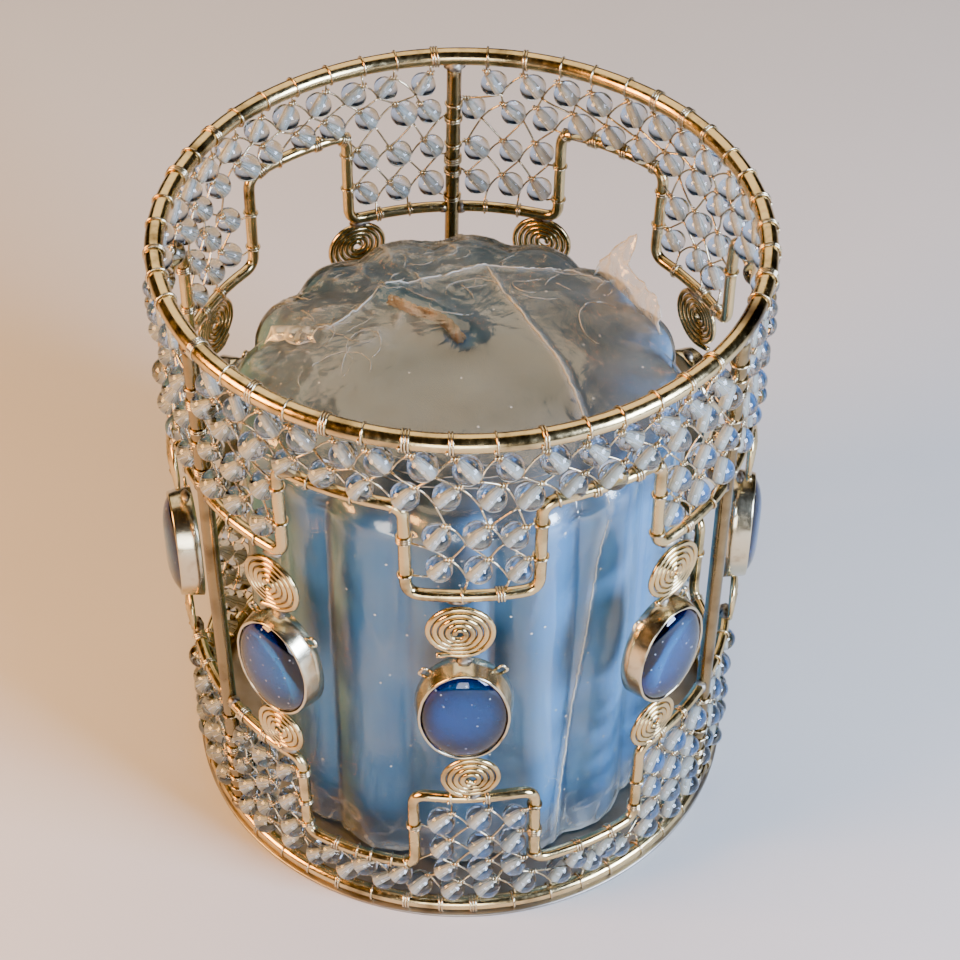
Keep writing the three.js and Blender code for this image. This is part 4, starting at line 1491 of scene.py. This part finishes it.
marks = add_node(
    tree,
    "ShaderNodeMath",
    {0: haze_and_highlight.outputs["Fac"], 1: speck_spots.outputs["Result"]},
    operation="MAXIMUM",
)
veil = add_node(
    tree,
    "ShaderNodeMath",
    {0: cloud_share.outputs["Result"], 1: marks.outputs["Value"]},
    use_clamp=True,
)
grazing = add_node(tree, "ShaderNodeFresnel", {"IOR": 1.5})
film_alpha = add_node(
    tree,
    "ShaderNodeMath",
    {0: veil.outputs["Value"], 1: grazing.outputs["Fac"]},
    use_clamp=True,
)
clearness = add_node(
    tree,
    "ShaderNodeMapRange",
    {
        "Value": veil.outputs["Value"],
        "From Min": 0.1,
        "From Max": 0.45,
        "To Min": 1.0,
        "To Max": 0.0,
    },
)
film_colour = add_node(
    tree,
    "ShaderNodeMix",
    {0: cloud.outputs["Fac"], 6: linear("#f0e4c8"), 7: linear("#d3d6cf")},
    data_type="RGBA",
)
wrinkle = add_node(
    tree,
    "ShaderNodeTexNoise",
    {"Vector": place, "Scale": 1000 / 4, "Detail": 4.0, "Distortion": 1.2},
)
film_roughness = add_node(
    tree, "ShaderNodeMapRange", {"Value": cloud.outputs["Fac"], "To Min": 0.1, "To Max": 0.28}
)
bump = add_node(
    tree,
    "ShaderNodeBump",
    {"Strength": 0.5, "Distance": 0.25 * MM, "Height": wrinkle.outputs["Fac"]},
)
shader = add_node(
    tree,
    "ShaderNodeBsdfPrincipled",
    {
        "Base Color": film_colour.outputs[2],
        "Roughness": film_roughness.outputs["Result"],
        "Metallic": clearness.outputs["Result"],
        "IOR": 1.5,
        "Alpha": film_alpha.outputs["Value"],
        "Normal": bump.outputs["Normal"],
    },
)
add_node(tree, "ShaderNodeOutputMaterial", {"Surface": shader.outputs["BSDF"]})


def distance_to(points, line):
    """How far each point is from a line through the listed corners."""
    nearest = np.full(len(points), 1e9)
    for start, end in zip(np.array(line), np.array(line[1:])):
        along = end - start
        share = np.clip((points - start) @ along / (along @ along), 0, 1)
        gap = np.linalg.norm(points - start - share[:, None] * along, axis=1)
        nearest = np.minimum(nearest, gap)
    return nearest


def ridge(points, size, seed, sharpness):
    """Thin wandering creases, from 0 between them to 1 on them."""
    return (1 - np.abs(wavy(points, size, seed))) ** sharpness


angles = np.arange(FILM_STEPS) * 2 * math.pi / FILM_STEPS
film_foot = corners_of("shrink_film")[0][2]
rows = [np.full((FILM_STEPS, 3), (0, 0, crown_z(0)))]
for radius, z in candle_profile(film_foot + FILM_FOOT, FILM_SPACING):
    radii, heights = np.full(FILM_STEPS, radius), np.full(FILM_STEPS, z)
    rows.append(fluted(radii, angles, heights, FILM_FLUTE_DEPTH))
skin = np.vstack([rows[0][:1], *rows[1:]])
flat_radius = np.linalg.norm(skin[:, :2], axis=1)
outwards = unit(skin * (1, 1, 0) + (1e-6, 0, 0))
topness = np.clip((candle_radius + 1.5 - flat_radius) / 6, 0, 1) * (skin[:, 2] > shoulder_z - 4)
azimuths = np.degrees(np.arctan2(skin[:, 1], skin[:, 0])) % 360

# The film is most ruffled at the back and left, and nearly smooth at the front.
ruffled = np.clip(0.3 + (0.7 * skin[:, 1] - 0.5 * skin[:, 0]) / 35, 0.18, 1)
creases = ridge(skin, 11, 3, 14) + 0.9 * ridge(skin, 5, 9, 16) + 0.5 * ridge(skin, 2.6, 5, 10)
creases *= ruffled
sag = wavy(skin, 16, 2)
side_creases = ridge(skin * (1, 1, 0.12), 9, 6, 26)
edge_creases = ridge(skin * (1, 1, 1.6), 6, 17, 12) * np.clip((22 - skin[:, 2]) / 20, 0, 1)
seam_wander = SEAM_WANDER * wavy(skin, 3, 23)
top_gap = np.minimum(distance_to(skin[:, :2], TOP_SEAM), distance_to(skin[:, :2], CROSS_SEAM))
top_seam = np.exp(-(((top_gap + seam_wander) / SEAM_WIDTH) ** 2)) * (skin[:, 2] > shoulder_z - 4)
unrolled = np.stack([np.radians(azimuths) * candle_radius, skin[:, 2]], 1)
side_line = [(math.radians(a) * candle_radius, z) for a, z in SIDE_SEAM]
side_gap = distance_to(unrolled, side_line)
side_seam = np.exp(-(((side_gap + seam_wander) / SEAM_WIDTH) ** 2)) * (flat_radius > 40)
seam = np.maximum(top_seam, side_seam)

wick_gap = distance_to(skin[:, :2], [(0, 0), tuple(wick_reach)])
over_wick = WICK_TENT * np.exp(-((wick_gap / WICK_TENT_WIDTH) ** 2)) * topness
slack = CREASE * creases + SAG * sag + TOP_SLACK
rise = FILM_GAP + over_wick + topness * slack + SEAM_HEIGHT * top_seam
side_slack = SIDE_CREASE * side_creases + EDGE_CREASE * edge_creases
spread = FILM_GAP + (1 - topness) * side_slack + SIDE_SEAM_HEIGHT * side_seam
skin = skin + outwards * spread[:, None] * (1 - topness)[:, None]
skin[:, 2] += rise * topness

rings = [[0] * FILM_STEPS]
rings += [list(range(1 + i * FILM_STEPS, 1 + (i + 1) * FILM_STEPS)) for i in range(len(rows) - 1)]
patches = [(skin, ring_faces(rings[::-1]))]
folds_haze = FOLD_HAZE * np.clip(creases - 0.5, 0, 1)
haze_and_highlight_values = SEAM_HAZE * seam + topness * (TOP_HAZE + SAG_HAZE * sag + folds_haze)
side_haze = SIDE_HAZE * (1 - topness) * side_creases
haze_and_highlight_values += side_haze + EDGE_HAZE * edge_creases + LEAST_HAZE
haze_and_highlight_values += FOOT_HAZE * np.clip((20 - skin[:, 2]) / 18, 0, 1)
near_wick = np.exp(-((wick_gap / WICK_CLEARING_WIDTH) ** 2))
haze_and_highlight_values *= 1 - WICK_CLEARING * near_wick * topness


def stepped(corners, step):
    """A line through the corners, with a point about every step."""
    corners = np.array(corners, float)
    lengths = np.concatenate([[0], np.cumsum(np.linalg.norm(np.diff(corners, axis=0), axis=1))])
    places = np.linspace(0, lengths[-1], int(lengths[-1] / step) + 2)
    return np.stack([np.interp(places, lengths, values) for values in corners.T], 1)


def on_top(path):
    """The points of a path seen from above, laid on the film's top."""
    over = skin[:, 2] > shoulder_z - 6
    gaps = np.linalg.norm(path[:, None] - skin[None, over, :2], axis=2)
    return np.column_stack([path, skin[over][gaps.argmin(axis=1), 2]])


def on_side(path):
    """The points of a path over the unrolled side, laid on the film."""
    gaps = np.linalg.norm(path[:, None] - unrolled[None], axis=2)
    gaps[:, flat_radius < candle_radius - 6] = 1e9
    nearest = skin[gaps.argmin(axis=1)]
    across = np.linalg.norm(nearest[:, :2], axis=1)
    turn = path[:, 0] / candle_radius
    return np.column_stack([across * np.cos(turn), across * np.sin(turn), path[:, 1]])


# The welds and the sharpest creases are raised beads of doubled film. The crease beads and the
# pocket edges are made milky as painted highlights.
draw = random.Random(71)
welds = [(on_top(stepped(line, SEAM_STEP)), SEAM_WELD) for line in (TOP_SEAM, CROSS_SEAM)]
welds.append((on_side(stepped(side_line, SEAM_STEP)), SEAM_WELD))
for middle, half_width, half_depth, first, last in POCKETS_AND_SHEEN_ARCS:
    sweep = np.radians(np.linspace(first, last, POCKET_POINTS))
    arc = np.stack([np.cos(sweep) * half_width, np.sin(sweep) * half_depth], 1)
    welds.append((on_top(arc + middle), CREASE_WELD))
for _ in range(CREASE_LINES):
    azimuth, radius = math.radians(draw.uniform(*CREASE_AZIMUTHS)), draw.uniform(*CREASE_RADII)
    heading, curl = draw.uniform(0, 2 * math.pi), draw.uniform(-CREASE_CURL, CREASE_CURL)
    headings = heading + curl * np.arange(draw.randint(*CREASE_POINTS))
    steps = np.stack([np.cos(headings), np.sin(headings)], 1) * CREASE_STEP
    start = radius * np.array([math.cos(azimuth), math.sin(azimuth)])
    path = start + np.cumsum(steps, axis=0)
    path = path[np.linalg.norm(path, axis=1) < candle_radius - 1]
    if len(path) > 4:
        welds.append((on_top(path), CREASE_WELD * draw.uniform(0.7, 1.2)))
for path, radius in welds:
    waver = np.stack([wavy(path, 1.7, seed) for seed in (61, 67, 73)], 1)
    ends = np.sin(np.linspace(0.03, 0.97, len(path)) * math.pi) ** 0.3
    thickness = radius * (1 + 0.5 * wavy(path, 1.1, 79)) * ends
    bead = swept(path + 1.2 * radius * waver, thickness, WELD_SIDES)
    patches.append(bead)
    # Seams get their real milkiness, crease beads and pocket edges a painted highlight.
    haze_and_highlight_level = WELD_HAZE if radius == SEAM_WELD else CREASE_HIGHLIGHT_HAZE
    haze_and_highlight_values = np.concatenate([haze_and_highlight_values, np.full(len(bead[0]), haze_and_highlight_level)])


def crumpled_patch(outline, steps, seed):
    """A small sheet of loose film. outline(u, v) gives its points, for u and v from 0 to 1."""
    places = np.linspace(0, 1, steps)
    points = np.array([[outline(u, v) for u in places] for v in places]).reshape(-1, 3)
    share = np.repeat(places, steps)[:, None]
    shake = [wavy(points, 4.5, seed + k) + 0.6 * wavy(points, 1.8, seed + k) for k in (0, 9, 18)]
    points = points + np.stack(shake, 1) * share * PATCH_SHAKE
    faces = []
    for row in range(steps - 1):
        for column in range(steps - 1):
            corner = row * steps + column
            faces.append((corner, corner + 1, corner + steps + 1, corner + steps))
    return points, faces


def ear_outline(u, v):
    """The ear of spare film: a pointed leaf near its back end, and a low flap after it."""
    base = np.array(EAR_BASE[0]) * (1 - u) + np.array(EAR_BASE[1]) * u
    height = np.interp(u, EAR_STATIONS, EAR_HEIGHTS)
    foot = crown_z(np.linalg.norm(base)) + 0.6
    lean = np.array([EAR_LEAN * (v * height / max(EAR_HEIGHTS)) ** 1.5, 0])
    inward = -unit(base) * (EAR_CURL * math.sin(v * 2.6) * (1 - 0.4 * u))
    return np.array([*(base + inward + lean), foot + height * v])


def tag_outline(u, v):
    """The flattened end of the seam: a folded tab lying on the shoulder at the left."""
    base = np.array(TAG_BASE[0]) * (1 - u) + np.array(TAG_BASE[1]) * u
    lie = np.array(TAG_HEADING) * TAG_LENGTH * v
    foot = crown_z(np.linalg.norm(base + lie)) + TAG_LIFT
    return np.array([*(base + lie), foot + TAG_LIFT * math.sin(math.pi * v)])


# Each loose patch has an outline, steps along each side, a noise seed and its cloudiness.
for outline, steps, seed, cloudiness in ((ear_outline, 60, 31, 0.3), (tag_outline, 24, 47, 0.16)):
    points, faces = crumpled_patch(outline, steps, seed)
    patches.append((points, faces))
    hem = swept(points[-steps:], CREASE_WELD, WELD_SIDES)
    folds = ridge(points, 4, seed, 8)
    border = np.zeros((steps, steps))
    border[0], border[-1], border[:, 0], border[:, -1] = 0.1, 0.5, 0.4, 0.4
    haze_and_highlight_values = np.concatenate([haze_and_highlight_values, cloudiness + PATCH_FOLDS * folds + border.ravel()])
    patches.append(hem)
    haze_and_highlight_values = np.concatenate([haze_and_highlight_values, np.full(len(hem[0]), WELD_HAZE)])
film = make_object("shrink_film_skin", patches, film_plastic)
haze_and_highlight_attribute = film.data.attributes.new("haze_and_highlight", "FLOAT", "POINT")
haze_and_highlight_attribute.data.foreach_set("value", np.clip(haze_and_highlight_values, 0, 1).astype(np.float32))
mount(film, "candle", "clear_film", "shrink_film")
